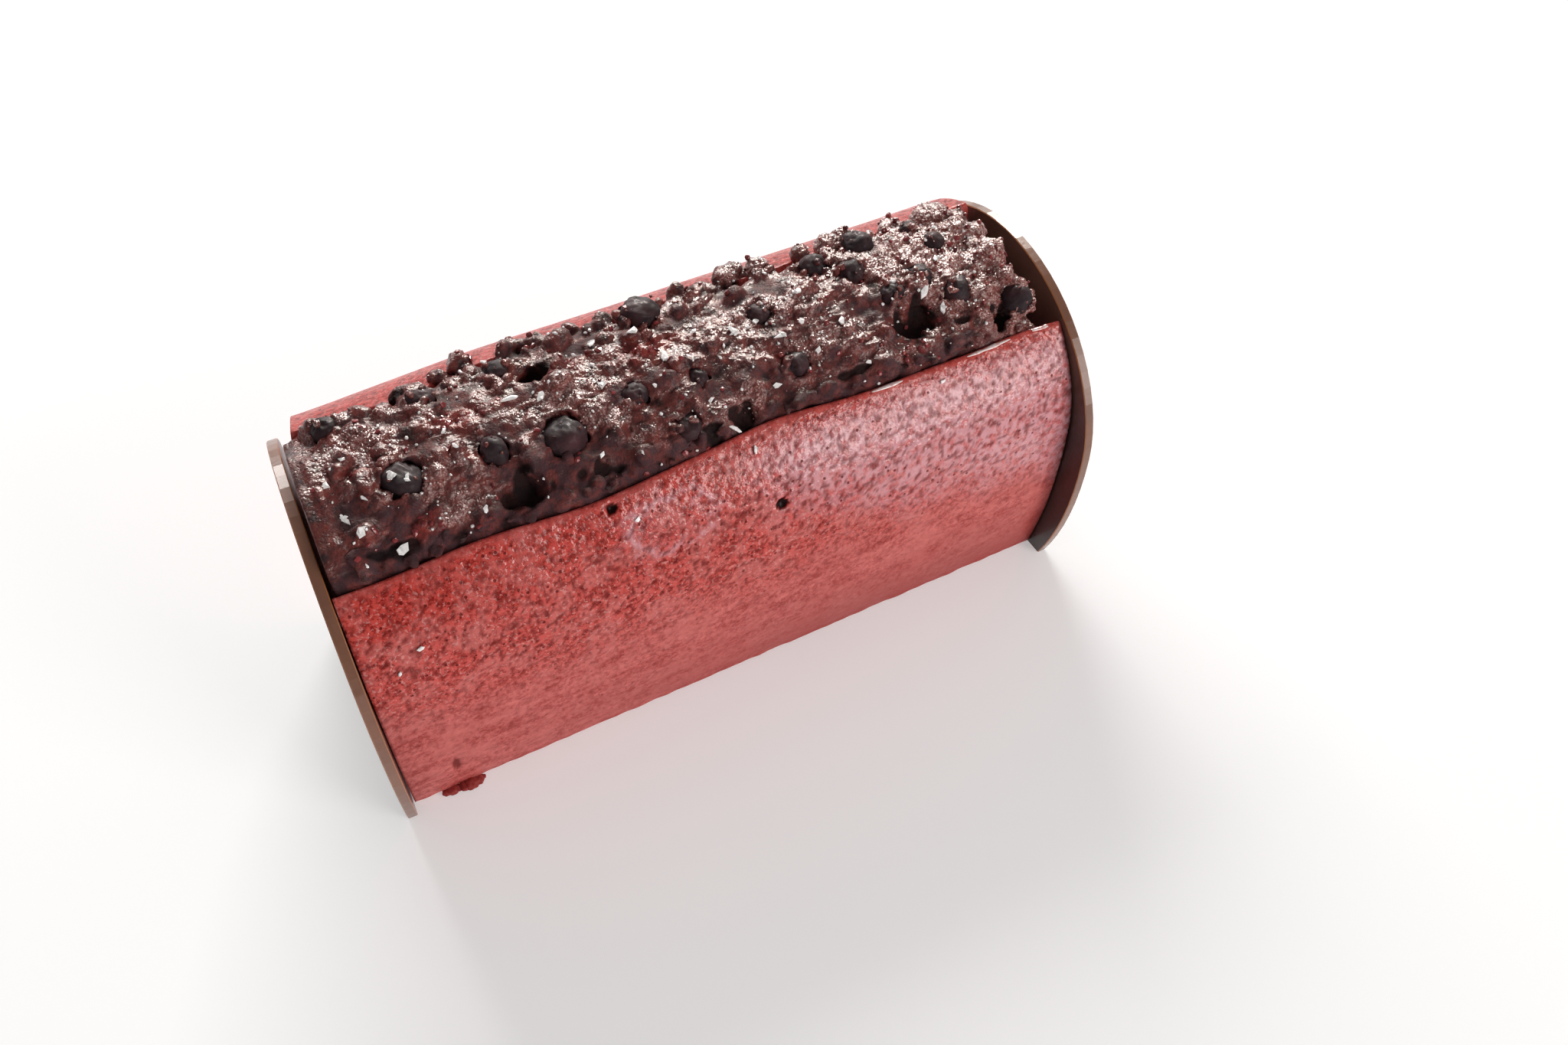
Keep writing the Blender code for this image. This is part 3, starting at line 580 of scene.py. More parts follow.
def mousse_material(settings):
    """Set berry mousse, moulded against a film: wet, saturated and finely mottled with pits
    on its upper half, smoother and duller towards the foot. Painted light: a pale sheen on the
    front of the right half and on the wet ring, pale glint specks on the upper half, and shade
    that darkens the foot and the bubble holes."""
    material, add, mm = new_material("set_berry_mousse")
    x, y, z = add("SeparateXYZ", {0: mm}).outputs
    upper = add("MapRange", {"Value": z, "From Min": 30.0, "From Max": 58.0})
    broad = add("TexNoise", {"Vector": mm, "Scale": 1 / 22.0, "Detail": 3.0})
    stretched = add("VectorMath", {0: mm, 1: (0.3, 1.0, 1.0)}, operation="MULTIPLY")
    streaks = add("TexNoise", {"Vector": stretched, "Scale": 1 / 2.6, "Detail": 4.0})
    mottle = add("TexNoise", {"Vector": mm, "Scale": 1 / 1.15, "Detail": 4.0, "Roughness": 0.75})
    cells = add("TexVoronoi", {"Vector": mm, "Scale": 1 / 1.9})
    tone = add("SeparateColor", {0: cells.outputs["Color"]})
    pit = add("Attribute", attribute_name="pit").outputs["Fac"]
    lip = add("Attribute", attribute_name="lip").outputs["Fac"]
    gloss_and_sheen_patch = add("Attribute", attribute_name="gloss").outputs["Fac"]
    grainy = add("Mix", {0: 0.6, 2: streaks, 3: mottle}, data_type="FLOAT")
    streaked = add("ValToRGB", {0: grainy}, stops=((0.4, 0.0), (0.62, 1.0)))
    low = add("Mix", {0: streaked, COLOUR_A: settings.low_dark, COLOUR_B: settings.low_light},
              data_type="RGBA")
    mottled = add("ValToRGB", {0: mottle}, stops=((0.4, 0.0), (0.54, 1.0)))
    high = add("Mix", {0: mottled, COLOUR_A: settings.deep, COLOUR_B: settings.body}, data_type="RGBA")
    faded = add("Math", {0: broad, 1: 0.6, 2: upper}, operation="MULTIPLY_ADD")
    upper_share = add("ValToRGB", {0: faded}, stops=((0.3, 0.12), (0.85, 1.0)))
    bare = add("Mix", {0: upper_share, COLOUR_A: low, COLOUR_B: high}, data_type="RGBA")
    drifts = add("TexNoise", {"Vector": mm, "Scale": 1 / 6.0, "Detail": 5.0, "Roughness": 0.65})
    cloudy = add("ValToRGB", {0: drifts}, stops=((0.45, 0.0), (0.6, 0.6)))
    clouded = add("Mix", {0: cloudy, COLOUR_A: bare, COLOUR_B: settings.cloud}, data_type="RGBA")
    # Painted glints: fine pale specks over the upper half
    glint_noise = add("TexNoise", {"Vector": mm, "Scale": 1 / 0.7, "Detail": 2.0})
    painted_glints = add("ValToRGB", {0: glint_noise}, stops=((0.58, 0.0), (0.65, 0.6)))
    painted_glint_part = add("Math", {0: painted_glints, 1: upper_share}, operation="MULTIPLY")
    skin = add("Mix", {0: painted_glint_part, COLOUR_A: clouded, COLOUR_B: settings.speck}, data_type="RGBA")
    dot = add("ValToRGB", {0: cells}, stops=((0.13, 1.0), (0.2, 0.0)))
    rare = add("Math", {0: tone, 1: 0.5}, operation="GREATER_THAN")
    chosen = add("Math", {0: dot, 1: rare}, operation="MULTIPLY")
    denser = add("MapRange", {"Value": upper_share, "To Min": 0.35})
    dotted = add("Math", {0: chosen, 1: denser}, operation="MULTIPLY")
    pits = add("Math", {0: dotted, 1: pit}, operation="MAXIMUM")
    pit_part = add("Math", {0: pits, 1: 0.85}, operation="MULTIPLY")
    # Painted sheen: a pale lacy colour on the front of the right half and on the wet ring stands in for the
    # front window's reflection
    slant = add("Math", {0: x, 1: 0.3, 2: z}, operation="MULTIPLY_ADD")
    drift = add("Math", {0: broad, 1: 26.0, 2: slant}, operation="MULTIPLY_ADD")
    wide = add("MapRange", {"Value": drift, "From Min": 64.0, "From Max": 78.0})
    onward = add("MapRange", {"Value": x, "From Min": -2.0, "From Max": 14.0})
    below_lip = add("MapRange", {"Value": z, "From Min": 70.0, "From Max": 66.0})
    forward = add("MapRange", {"Value": y, "From Min": 4.0, "From Max": -4.0})
    painted_sheen_band = wide
    for part in (onward, below_lip, forward):
        painted_sheen_band = add("Math", {0: painted_sheen_band, 1: part}, operation="MULTIPLY")
    painted_sheen_zone = add("Math", {0: painted_sheen_band, 1: gloss_and_sheen_patch}, operation="MAXIMUM")
    knots = add("TexNoise", {"Vector": mm, "Scale": 1 / 1.7, "Detail": 3.0})
    sheen_lace = add("ValToRGB", {0: knots}, stops=((0.38, 0.25), (0.56, 0.8)))
    painted_sheen = add("Math", {0: sheen_lace, 1: painted_sheen_zone}, operation="MULTIPLY")
    sheened = add("Mix", {0: painted_sheen, COLOUR_A: skin, COLOUR_B: settings.painted_sheen}, data_type="RGBA")
    dimpled = add("Mix", {0: pit_part, COLOUR_A: sheened, COLOUR_B: settings.pit}, data_type="RGBA")
    # Painted shade: the bubble holes are coloured almost black
    bubble_shade = add("MapRange", {"Value": pit, "From Min": 1.3, "From Max": 1.8})
    pitted = add("Mix", {0: bubble_shade, COLOUR_A: dimpled, COLOUR_B: hex_rgb(BUBBLE_SHADE_COLOUR)}, data_type="RGBA")
    # Painted shade: darker towards the foot, more so right of the middle
    foot = add("MapRange", {"Value": z, "From Min": 26.0, "From Max": 2.0, "To Max": 0.95})
    rightward = add("MapRange", {"Value": x, "From Min": -60.0, "From Max": 20.0, "To Min": 0.05})
    foot_shade_part = add("Math", {0: foot, 1: rightward}, operation="MULTIPLY")
    foot_shaded = add("Mix", {0: foot_shade_part, COLOUR_A: pitted, COLOUR_B: settings.low_dark}, data_type="RGBA")
    lip_share = add("Math", {0: lip, 1: 0.5}, operation="MULTIPLY")
    edged = add("Mix", {0: lip_share, COLOUR_A: foot_shaded, COLOUR_B: settings.lip}, data_type="RGBA")
    dull = add("MapRange", {"Value": faded, "From Min": 0.3, "From Max": 1.0, "To Min": 0.5, "To Max": 0.3})
    wet = add("Math", {0: gloss_and_sheen_patch, 1: -0.16, 2: dull}, operation="MULTIPLY_ADD")
    sunk = add("Math", {0: dotted, 1: -1.0, 2: mottle}, operation="MULTIPLY_ADD")
    pitted_strength = add("MapRange", {"Value": upper_share, "To Min": 0.35, "To Max": 1.0})
    bump = add("Bump", {"Height": sunk, "Distance": 0.17 * MM, "Strength": pitted_strength})
    ripples = add("TexNoise", {"Vector": mm, "Scale": 1 / 1.5, "Detail": 2.0})
    film = add("Bump", {"Height": ripples, "Distance": 0.36 * MM, "Strength": 0.8})
    front = add("MapRange", {"Value": y, "From Min": 4.0, "From Max": -4.0, "To Min": 0.12, "To Max": 1.0})
    film_share = add("MapRange", {"Value": faded, "From Min": 0.25, "From Max": 0.9, "To Min": 0.1,
                                  "To Max": 0.95})
    wet_film = add("Math", {0: front, 1: film_share}, operation="MULTIPLY")
    raised = add("MapRange", {"Value": mottled, "To Min": 0.3})
    shallow = add("MapRange", {"Value": pits, "To Min": 1.0, "To Max": 0.1})
    unbroken = add("Math", {0: raised, 1: shallow}, operation="MULTIPLY")
    broken_film = add("Math", {0: wet_film, 1: unbroken}, operation="MULTIPLY")
    return finish(material, {"Base Color": edged, "Roughness": wet, "Normal": bump, "Coat Normal": film,
                             "Coat Weight": broken_film, "IOR": 1.42, "Specular IOR Level": 0.13,
                             "Coat Roughness": 0.1, "Subsurface Weight": 0.12,
                             "Subsurface Radius": (1.0, 0.3, 0.25), "Subsurface Scale": 1.6 * MM})


def make_highlight_juice_lines(material):
    """Thin beads of juice along the front lip, coloured almost white as a painted highlight of the light on
    the wet lip.
    """
    bm = bmesh.new()
    for start, end in JUICE_RUNS:
        steps = round((end - start) / JUICE_STEP)
        rings = []
        for k in range(steps + 1):
            share = k / steps
            x = (start + (end - start) * share) * MM
            y, z = dome_point(x, front_lip(x))
            thick = JUICE_RADIUS * (math.sin(math.pi * share) ** 0.4 if 0 < k < steps else 0.05)
            thick *= 1.0 + 0.6 * noise.noise((x / (2.6 * MM), 0.0, 0.0))
            middle = Vector((x + SHIFT_X, y + 0.35 * LIP_WIDTH, z + 0.24 * LIP_WIDTH))
            outline = [Vector((0.0, 1.5 * math.cos(turn), 0.8 * math.sin(turn)))
                       for turn in np.linspace(0.0, 2.0 * math.pi, JUICE_SIDES, endpoint=False)]
            rings.append([bm.verts.new(middle + side * thick) for side in outline])
        for low, high in zip(rings, rings[1:]):
            for k in range(JUICE_SIDES):
                j = (k + 1) % JUICE_SIDES
                bm.faces.new((low[k], high[k], high[j], low[j]))
        bm.faces.new(list(reversed(rings[0])))
        bm.faces.new(rings[-1])
    bmesh.ops.recalc_face_normals(bm, faces=bm.faces)
    take_place(bmesh_object("lip_juice", bm, material), "mousse")


def juice_highlight_material():
    """Juice on the lip, glossy so that it mirrors the window; its almost white colour is a painted
    highlight.
    """
    material, add, mm = new_material("clear_berry_juice")
    drawn = add("TexNoise", {"Vector": mm, "Scale": 1 / 2.2, "Detail": 2.0})
    ramp = add("ValToRGB", {0: drawn}, stops=((0.36, hex_rgb("#D98C86")), (0.5, hex_rgb("#F4E4E0"))))
    return finish(material, {"Base Color": ramp, "Roughness": 0.12, "IOR": 1.4, "Coat Weight": 1.0,
                             "Coat Roughness": 0.03})


def make_crumb(material):
    """The crumb of mousse that has dropped off the front foot of the log."""
    bm = bmesh.new()
    for x, size in CRUMB_LUMPS:
        made = bmesh.ops.create_icosphere(bm, subdivisions=3, radius=size * MM)["verts"]
        for vertex in made:
            lump = 1.0 + 0.35 * noise.noise(vertex.co / (0.8 * MM) + Vector((x, 0.0, 0.0)))
            vertex.co *= lump
            vertex.co.z = max(0.62 * vertex.co.z, -0.5 * size * MM)
        place = Vector((x * MM + SHIFT_X, CRUMB_LINE - 0.6 * size * MM, 0.5 * size * MM))
        bmesh.ops.translate(bm, verts=made, vec=place)
    crumb = bmesh_object("mousse_crumb", bm, material)
    store_mask(crumb.data, "lip", [0.4] * len(crumb.data.vertices))
    store_mask(crumb.data, "pit", [0.8] * len(crumb.data.vertices))
    take_place(crumb, "mousse")


# ---------------------------------------------------------------- compote

# Places on the heap, in mm from the log's middle: (x, y, reach along, reach across, strength)
PULP_PATCHES = (                    # seedy pulp, where the juice glints
    (-28, -6, 8, 2.5, 1.0), (-23, -13, 6, 2.5, 0.9), (-69, 0, 8, 2.5, 0.8), (-60, -14, 6, 2.5, 0.8),
    (-54, -19, 7, 2.2, 0.8), (-47, -14, 4, 2, 0.5), (18, -3, 9, 5, 0.9), (30, -13, 9, 3, 0.9),
    (61, 2, 12, 8, 1.0), (71, -9, 6, 5, 1.0), (72, -22, 6, 2, 0.8), (43, -21, 8, 2, 0.8),
    (-13, -25, 7, 2.5, 0.7), (5, -18, 8, 2.5, 0.7), (20, 12, 7, 3, 0.9), (44, 11, 7, 3, 0.8),
    (-62, 5, 5, 2, 0.5), (-6, 6, 6, 3, 0.4), (52, -3, 7, 4, 0.8),
)
RED_PATCHES = (                     # thin pulp that lets light through
    (-49, -3, 9, 2.5, 1.0), (-10, -2, 8, 3, 1.0), (-64, -20, 8, 2, 0.8), (-53, -24, 7, 2, 0.6),
    (-70, -7, 5, 2, 0.5), (45, -21, 6, 2, 0.6), (-24, 1, 5, 2, 0.7), (66, -2, 6, 3, 0.5),
    (-42, 15, 3, 2, 0.9), (-30, 17, 5, 2, 0.8), (74, -10, 3, 3, 0.5), (14, 5, 5, 3, 0.5),
)
FLESH_PATCHES = (                   # smooth dark fruit without seeds
    (-33, -17, 9, 5.5, 1.0), (-44, -10, 5, 3, 0.8), (-56, -25, 9, 2.5, 0.9), (-73, -22, 7, 3, 0.9),
    (-43, -26, 8, 2.5, 1.0), (-17, -29, 6, 2, 0.9), (5, -27, 10, 3, 1.0), (-1, -12, 4, 2.5, 0.7),
    (28, -17, 4, 2.5, 0.6), (-21, 5, 6, 3, 0.8), (-37, 9, 6, 3, 0.8), (33, -26, 7, 2.5, 0.9),
    (-75, -13, 5, 3, 0.8), (-56, 7, 5, 2, 0.7), (60, -22, 6, 2.5, 0.7), (-8, 11, 6, 3, 0.8),
)
CRAGS = (                           # lumps that stand above the rest: x, y, radius, rise of the middle
    (-43.6, 13.0, 2.6, 0.2), (-43.4, 14.6, 1.6, 1.8), (-55.8, 8.8, 2.6, -0.4), (-57.6, 9.8, 1.5, 0.9),
    (-31.5, 15.4, 2.0, 0.3), (-31.6, 16.4, 1.2, 1.4), (-26.8, 14.6, 2.0, 0.2), (-26.5, 15.4, 1.1, 1.4),
    (-12.5, 12.4, 2.6, 0.0), (-3.0, 12.8, 2.4, 0.2), (16.5, 13.2, 3.0, 0.2), (19.6, 14.4, 2.0, 1.5),
    (24.5, 12.6, 2.4, 0.3), (41.8, 12.4, 2.6, 0.6), (45.6, 12.0, 2.2, 1.0), (57.5, 10.4, 2.8, 0.2),
    (68.5, 11.0, 3.4, -0.6), (72.6, 7.0, 2.6, 0.0), (-75.4, 10.4, 2.4, -0.4), (-66.2, 8.2, 2.2, 0.0),
    (73.4, -16.2, 2.4, 1.2), (72.0, -7.6, 3.2, 0.0), (70.6, 2.6, 3.0, 0.2), (-48.8, 12.4, 1.8, 0.2),
    (4.8, 12.6, 2.2, 0.4), (10.5, 12.2, 1.8, 0.6), (35.0, 12.8, 1.8, 0.6), (-19.5, 13.6, 1.8, 0.4),
)
CHUNKS = 120                        # smaller lumps of fruit
CHUNK_SIZE = (1.1 * MM, 3.2 * MM)
CHUNK_SPAN = (-77.5, 74.5)          # from x to x, in mm
LIP_LUMP_SPAN = (-77.0, 73.0)
COLLAR_SIZE = (0.8 * MM, 1.6 * MM)  # pulp drawn up against the berries
SMEARS = 7                          # bits of pulp lying on each berry
BEAD_SIZE = (0.35 * MM, 0.85 * MM)
GRAIN_SIZE = (0.13 * MM, 0.26 * MM)
SUGAR_SIZE = (0.18 * MM, 0.46 * MM)
BIT_SIZE = (0.4 * MM, 0.95 * MM)
BEAD_TONES = ((0.1, "#42181C"), (0.5, "#702A2B"), (0.95, "#964844"))
# The palest grain tone is a painted glint, over the grains' own pink
GRAIN_GLINT_TONES = ((0.1, "#6A2C2C"), (0.6, "#A8706A"), (0.95, "#E8D2CA"))
BIT_TONES = ((0.1, "#581C1E"), (0.9, "#92373A"))
LIP_LUMP_SIZE = (0.6 * MM, 1.5 * MM)    # bits of fruit pressed against the front lip, half-size
CREVICES = (                        # narrow gaps by the lip, painted dark as shade: (x, y, half-length, half-width) in mm
    (-70.0, -21.4, 5.5, 1.1), (-28.5, -21.4, 5.0, 1.2), (-3.0, -21.4, 3.4, 0.9), (30.0, -20.4, 4.6, 1.0),
    (58.0, -18.5, 3.4, 0.8),
)
RAGGED_EDGE = 2.6 * MM
HEAP_SOFT_TOP = 84.9 * MM           # from here up the crests are eased down into the solid's height
SOFT_ROOM = 1.6 * MM
RIM_SHADE = 0.35                   # painted shade where the heap meets the log and the plates
HOLLOW_EXTRA = 0.8 * MM             # the hollows go this much deeper than the solid's
BLEND_STEPS = 6                     # how far the lumps are melted into the heap
PATCH_EDGE = 2.8 * MM               # how finely the patches' edges are broken up
PLAIN_SIZE = 9.0 * MM               # how broad the plain dark stretches between the pulp are
LUMP_SIZE = 5.2 * MM
KNOB_SIZE = 2.9 * MM
FOLD_SIZE = 2.3 * MM
FOLD_STRETCH = 1.5                  # the folds run this much longer along the log
CRUMPLE_SIZE = 1.2 * MM
SEED_SPACING = 1.15 * MM
WARP_SIZE = 3.6 * MM                # the folds wander over this length, by WARP_REACH mm
WARP_REACH = 1.3
HEAP_SEED = 31
HEAP_MASKS = ("pulp", "red", "flesh", "crease", "blush")


def patches(table, x, y):
    """How strongly places lie in the patches, 0 to 1; x and y may be arrays."""
    total = 0.0
    for place_x, place_y, along, across, strength in table:
        distance = ((x / MM - place_x) / along) ** 2 + ((y / MM - place_y) / across) ** 2
        total = total + strength * np.exp(-distance)
    return np.minimum(total, 1.0)


def ease(low, high, values):
    """smoothstep for arrays."""
    t = np.clip((values - low) / (high - low), 0.0, 1.0)
    return t * t * (3.0 - 2.0 * t)


def heap_zones(places):
    """(pulp, red, flesh, calm) shares at places on the heap in the frame; calm is smooth flesh."""
    x, y = places[:, 0] - SHIFT_X, places[:, 1]
    broken = np.array([noise.noise((px / PATCH_EDGE / 1.7, py / PATCH_EDGE, 0.0))
                       + 0.5 * noise.noise((px / PATCH_EDGE, 2.2 * py / PATCH_EDGE, 3.0))
                       for px, py in zip(x, y)])
    angle = np.degrees(np.arcsin(np.clip((y - MOUSSE_SHIFT) / MOUSSE_HALF_WIDTH, -1.0, 1.0)))
    bank = 0.75 * ease(FRONT_LIP + 13.0, FRONT_LIP + 4.0, angle + 6.0 * broken)
    flesh = ease(0.2, 0.75, np.maximum(patches(FLESH_PATCHES, x, y), bank) + 0.5 * broken)
    right = ease(36.0 * MM, 60.0 * MM, x + 0.6 * y)
    flesh = flesh * (1.0 - 0.55 * right)
    broad = np.array([noise.noise((px / PLAIN_SIZE, 1.4 * py / PLAIN_SIZE, 11.0)) for px, py in zip(x, y)])
    plain = ease(0.05, 0.35, broad + 0.25 * broken - 0.6 * patches(PULP_PATCHES, x, y))
    flesh = np.maximum(flesh, 0.9 * plain * (1.0 - 0.7 * right))
    calm = ease(0.3, 0.7, patches(FLESH_PATCHES, x, y) + 0.4 * broken) * (1.0 - right)
    calm = np.maximum(calm, 0.8 * plain * (1.0 - right))
    covered = np.maximum(patches(PULP_PATCHES, x, y), 0.7 * right)
    pulp = ease(0.1, 0.6, covered + 0.75 * broken + 0.08)
    pulp = pulp * (1.0 - flesh)
    red = ease(0.3, 0.8, patches(RED_PATCHES, x, y) - 0.4 * broken)
    return pulp, red, flesh, calm


def vertex_places(mesh):
    places = np.empty(3 * len(mesh.vertices))
    mesh.vertices.foreach_get("co", places)
    return places.reshape(-1, 3)


def add_lump(bm, centre, half, squash, number):
    """An uneven lump of fruit; squash is its (x, y, z) proportions."""
    made = bmesh.ops.create_icosphere(bm, subdivisions=2, radius=1.0)["verts"]
    draw = random.Random(number)
    turn = Euler([draw.uniform(0.0, 6.28) for _ in range(3)]).to_matrix()
    for vertex in made:
        place = vertex.co + Vector((number * 1.7, 0.0, 0.0))
        swell = 1.0 + 0.28 * noise.noise(place * 1.2) + 0.1 * noise.noise(place * 3.0)
        local = Vector([c * s for c, s in zip(vertex.co, squash)]) * swell * half
        vertex.co = centre + turn @ local


def heap_top(x, y, rise=0.0):
    """A place on the heap above the dome's curve, by x and y in metres."""
    return on_dome(x, dome_angle(y), compote_rise(x, y) + rise)


def add_chunks(bm):
    """Crags, small chunks of fruit and the pulp drawn up round each berry."""
    draw = random.Random(HEAP_SEED)
    for number, (x, y, radius, rise) in enumerate(CRAGS):
        centre = on_dome(x * MM, dome_angle(y * MM), (0.8 * rise - 0.2) * MM)
        proportions = (1.0, draw.uniform(0.75, 1.0), draw.uniform(0.6, 0.85))
        add_lump(bm, centre, 1.25 * radius * MM, proportions, number)
    made = 0
    while made < CHUNKS:
        x = draw.uniform(*CHUNK_SPAN) * MM
        angle = draw.uniform(front_lip(x) + 4.0, rear_lip(x) - 3.0)
        y = dome_point(x, angle)[0]
        half = draw.uniform(*CHUNK_SIZE)
        if near_berry(x, y, 0.2 * half) or in_hollow(x, y, 0.3 * half):
            continue
        squash = (1.0, draw.uniform(0.5, 0.9), draw.uniform(0.4, 0.7))
        add_lump(bm, heap_top(x, y, draw.uniform(-0.6, 0.2) * half), half, squash, 100 + made)
        made += 1
    x = LIP_LUMP_SPAN[0] * MM
    while x < LIP_LUMP_SPAN[1] * MM:
        half = draw.uniform(*LIP_LUMP_SIZE)
        y = dome_point(x, front_lip(x) + draw.uniform(3.2, 7.0))[0]
        if not in_hollow(x, y, 0.0):
            squash = (1.0, draw.uniform(0.6, 0.9), draw.uniform(0.5, 0.9))
            add_lump(bm, heap_top(x, y, draw.uniform(-0.4, 0.2) * half), half, squash, round(x * 4e4))
        x += draw.uniform(1.2, 4.2) * half
    for number, (x, y, radius, lift) in enumerate(BERRIES):
        middle = berry_centre(number + 1)
        normal = dome_normal(dome_angle(y * MM))
        around = normal.to_track_quat("Z", "Y").to_matrix()
        count = max(9, round(3.4 * radius))
        for k in range(count + SMEARS):
            turn = 2.0 * math.pi * (k + draw.uniform(-0.3, 0.3)) / count
            half = draw.uniform(*COLLAR_SIZE)
            reach = radius * MM + draw.uniform(-0.3, 0.2) * half
            height = draw.uniform(-0.25, 0.4) * radius * MM - lift * MM * 0.5
            if k >= count:
                half *= 0.6
                slope = draw.uniform(0.45, 1.2)
                turn = draw.uniform(0.0, 2.0 * math.pi)
                reach, height = radius * MM * math.cos(slope), 0.96 * radius * MM * math.sin(slope)
            side = Vector((math.cos(turn) * reach, math.sin(turn) * reach, height))
            squash = (1.0, draw.uniform(0.45, 0.9), draw.uniform(0.3, 0.8))
            add_lump(bm, middle + around @ side, half, squash, 1000 + 40 * number + k)


def heap_relief(place, pulp, calm):
    """(height, crease) of the lumps, folds and crumbly pulp at a place on the heap."""
    warp = noise_shift(place / WARP_SIZE) * WARP_REACH * MM
    drawn = place + warp
    drawn.x /= FOLD_STRETCH
    swell = noise.noise(place / LUMP_SIZE) + 0.5 * noise.noise(place / KNOB_SIZE)
    folds = 1.0 - 2.4 * abs(noise.noise(drawn / FOLD_SIZE))
    crumple = 1.0 - 2.4 * abs(noise.noise(drawn / CRUMPLE_SIZE + Vector((5.0, 0.0, 0.0))))
    seeds = 0.5 - noise.voronoi((place + 0.4 * warp) / SEED_SPACING)[0][0] if pulp > 0.02 else 0.0
    rough = 1.0 - 0.8 * calm
    height = 0.9 * swell + rough * (0.3 * folds + 0.3 * crumple) + 0.55 * pulp * seeds
    # Painted shade: the troughs of the folds and the low swells are marked for darkening
    crease = smoothstep(0.2, -0.7, folds + 0.4 * crumple) * rough
    return height * MM, max(0.8 * crease, smoothstep(-0.3, -0.9, swell))


def hollow_depth(x, y):
    """1 in the middle of the hollows of the heap, which are painted dark as shade, 0 outside; x and y are
    arrays in metres.
    """
    ragged = np.array([noise.noise((px / RAGGED_EDGE, py / RAGGED_EDGE, 7.0)) for px, py in zip(x, y)])
    deep = 0.0
    for place_x, place_y, along, across in CREVICES + tuple(row[:4] for row in HOLLOWS):
        away = ((x / MM - place_x) / along) ** 2 + ((y / MM - place_y) / across) ** 2
        deep = np.maximum(deep, 1.0 - ease(0.45, 1.15, away + 1.2 * ragged))
    return deep


def make_heap(settings, material):
    """The compote's solid and its lumps melted into one skin, with its folds and masks."""
    bm = bmesh.new()
    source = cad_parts["berry_compote"]
    bm.from_mesh(source.data)
    bm.transform(source.matrix_world)
    add_chunks(bm)
    heap = bmesh_object("compote_heap", bm, material)
    remesh = heap.modifiers.new("Remesh", "REMESH")
    remesh.mode = "VOXEL"
    remesh.voxel_size = settings.voxel
    blend = heap.modifiers.new("Blend", "SMOOTH")
    blend.factor, blend.iterations = 0.5, BLEND_STEPS
    apply_modifiers(heap)
    places = vertex_places(heap.data)
    normals = np.empty(places.size)
    heap.data.vertex_normals.foreach_get("vector", normals)
    normals = normals.reshape(-1, 3)
    pulp, red, flesh, calm = heap_zones(places)
    hollow = hollow_depth(places[:, 0] - SHIFT_X, places[:, 1])
    steps, crease_shades = [], []
    for place, pulpy, smooth in zip(map(Vector, places), pulp, calm):
        room = dome_room(place.x - SHIFT_X, place)
        height, crease = heap_relief(place, pulpy, smooth) if room > 0.0 else (0.0, RIM_SHADE)
        steps.append(height * room)
        crease_shades.append(crease)
    steps = np.array(steps) - HOLLOW_EXTRA * hollow * (normals[:, 2] > 0.0)
    places += normals * steps[:, None]
    over = np.maximum(places[:, 2] - HEAP_SOFT_TOP, 0.0)
    places[:, 2] -= over - SOFT_ROOM * (1.0 - np.exp(-over / SOFT_ROOM))
    heap.data.vertices.foreach_set("co", places.ravel())
    heap.data.update()
    # Painted shade: the hollows and crevices are darkened through the same mask as the creases
    crease_shades = np.maximum(crease_shades, 1.15 * hollow)
    pulp *= 1.0 - hollow
    # blush: rosy pulp, more towards the right end; it also sets where the pale glints are painted
    blush = pulp * (0.5 + 0.5 * ease(34.0 * MM, 56.0 * MM, places[:, 0] + 0.3 * places[:, 1]))
    for name, values in zip(HEAP_MASKS, (pulp, red, flesh, crease_shades, blush)):
        store_mask(heap.data, name, values)
    heap.data.materials.clear()
    heap.data.materials.append(material)
    heap.data.shade_smooth()
    take_place(heap, "compote", "berry_compote")
    return heap


def apply_modifiers(obj):
    """Bake the object's modifiers into its mesh."""
    baked = bpy.data.meshes.new_from_object(obj.evaluated_get(bpy.context.evaluated_depsgraph_get()))
    obj.modifiers.clear()
    obj.data = baked


def dome_room(x, place):
    """1 well inside the trough's mouth, 0 against the lips and below them."""
    across = (place.y - MOUSSE_SHIFT) / MOUSSE_HALF_WIDTH
    degrees = math.degrees(math.asin(max(-1.0, min(1.0, across))))
    inside = degrees - front_lip(x) - 2.0
    chord = place.z - (dome_point(x, degrees)[1] - 7.0 * MM)
    ends = min(x + 0.5 * LOG_LENGTH, 0.5 * LOG_LENGTH - x) - 1.0 * MM
    return smoothstep(0.0, 2.0, inside) * smoothstep(0.0, 3.0 * MM, chord) * smoothstep(0.0, 1.5 * MM, ends)


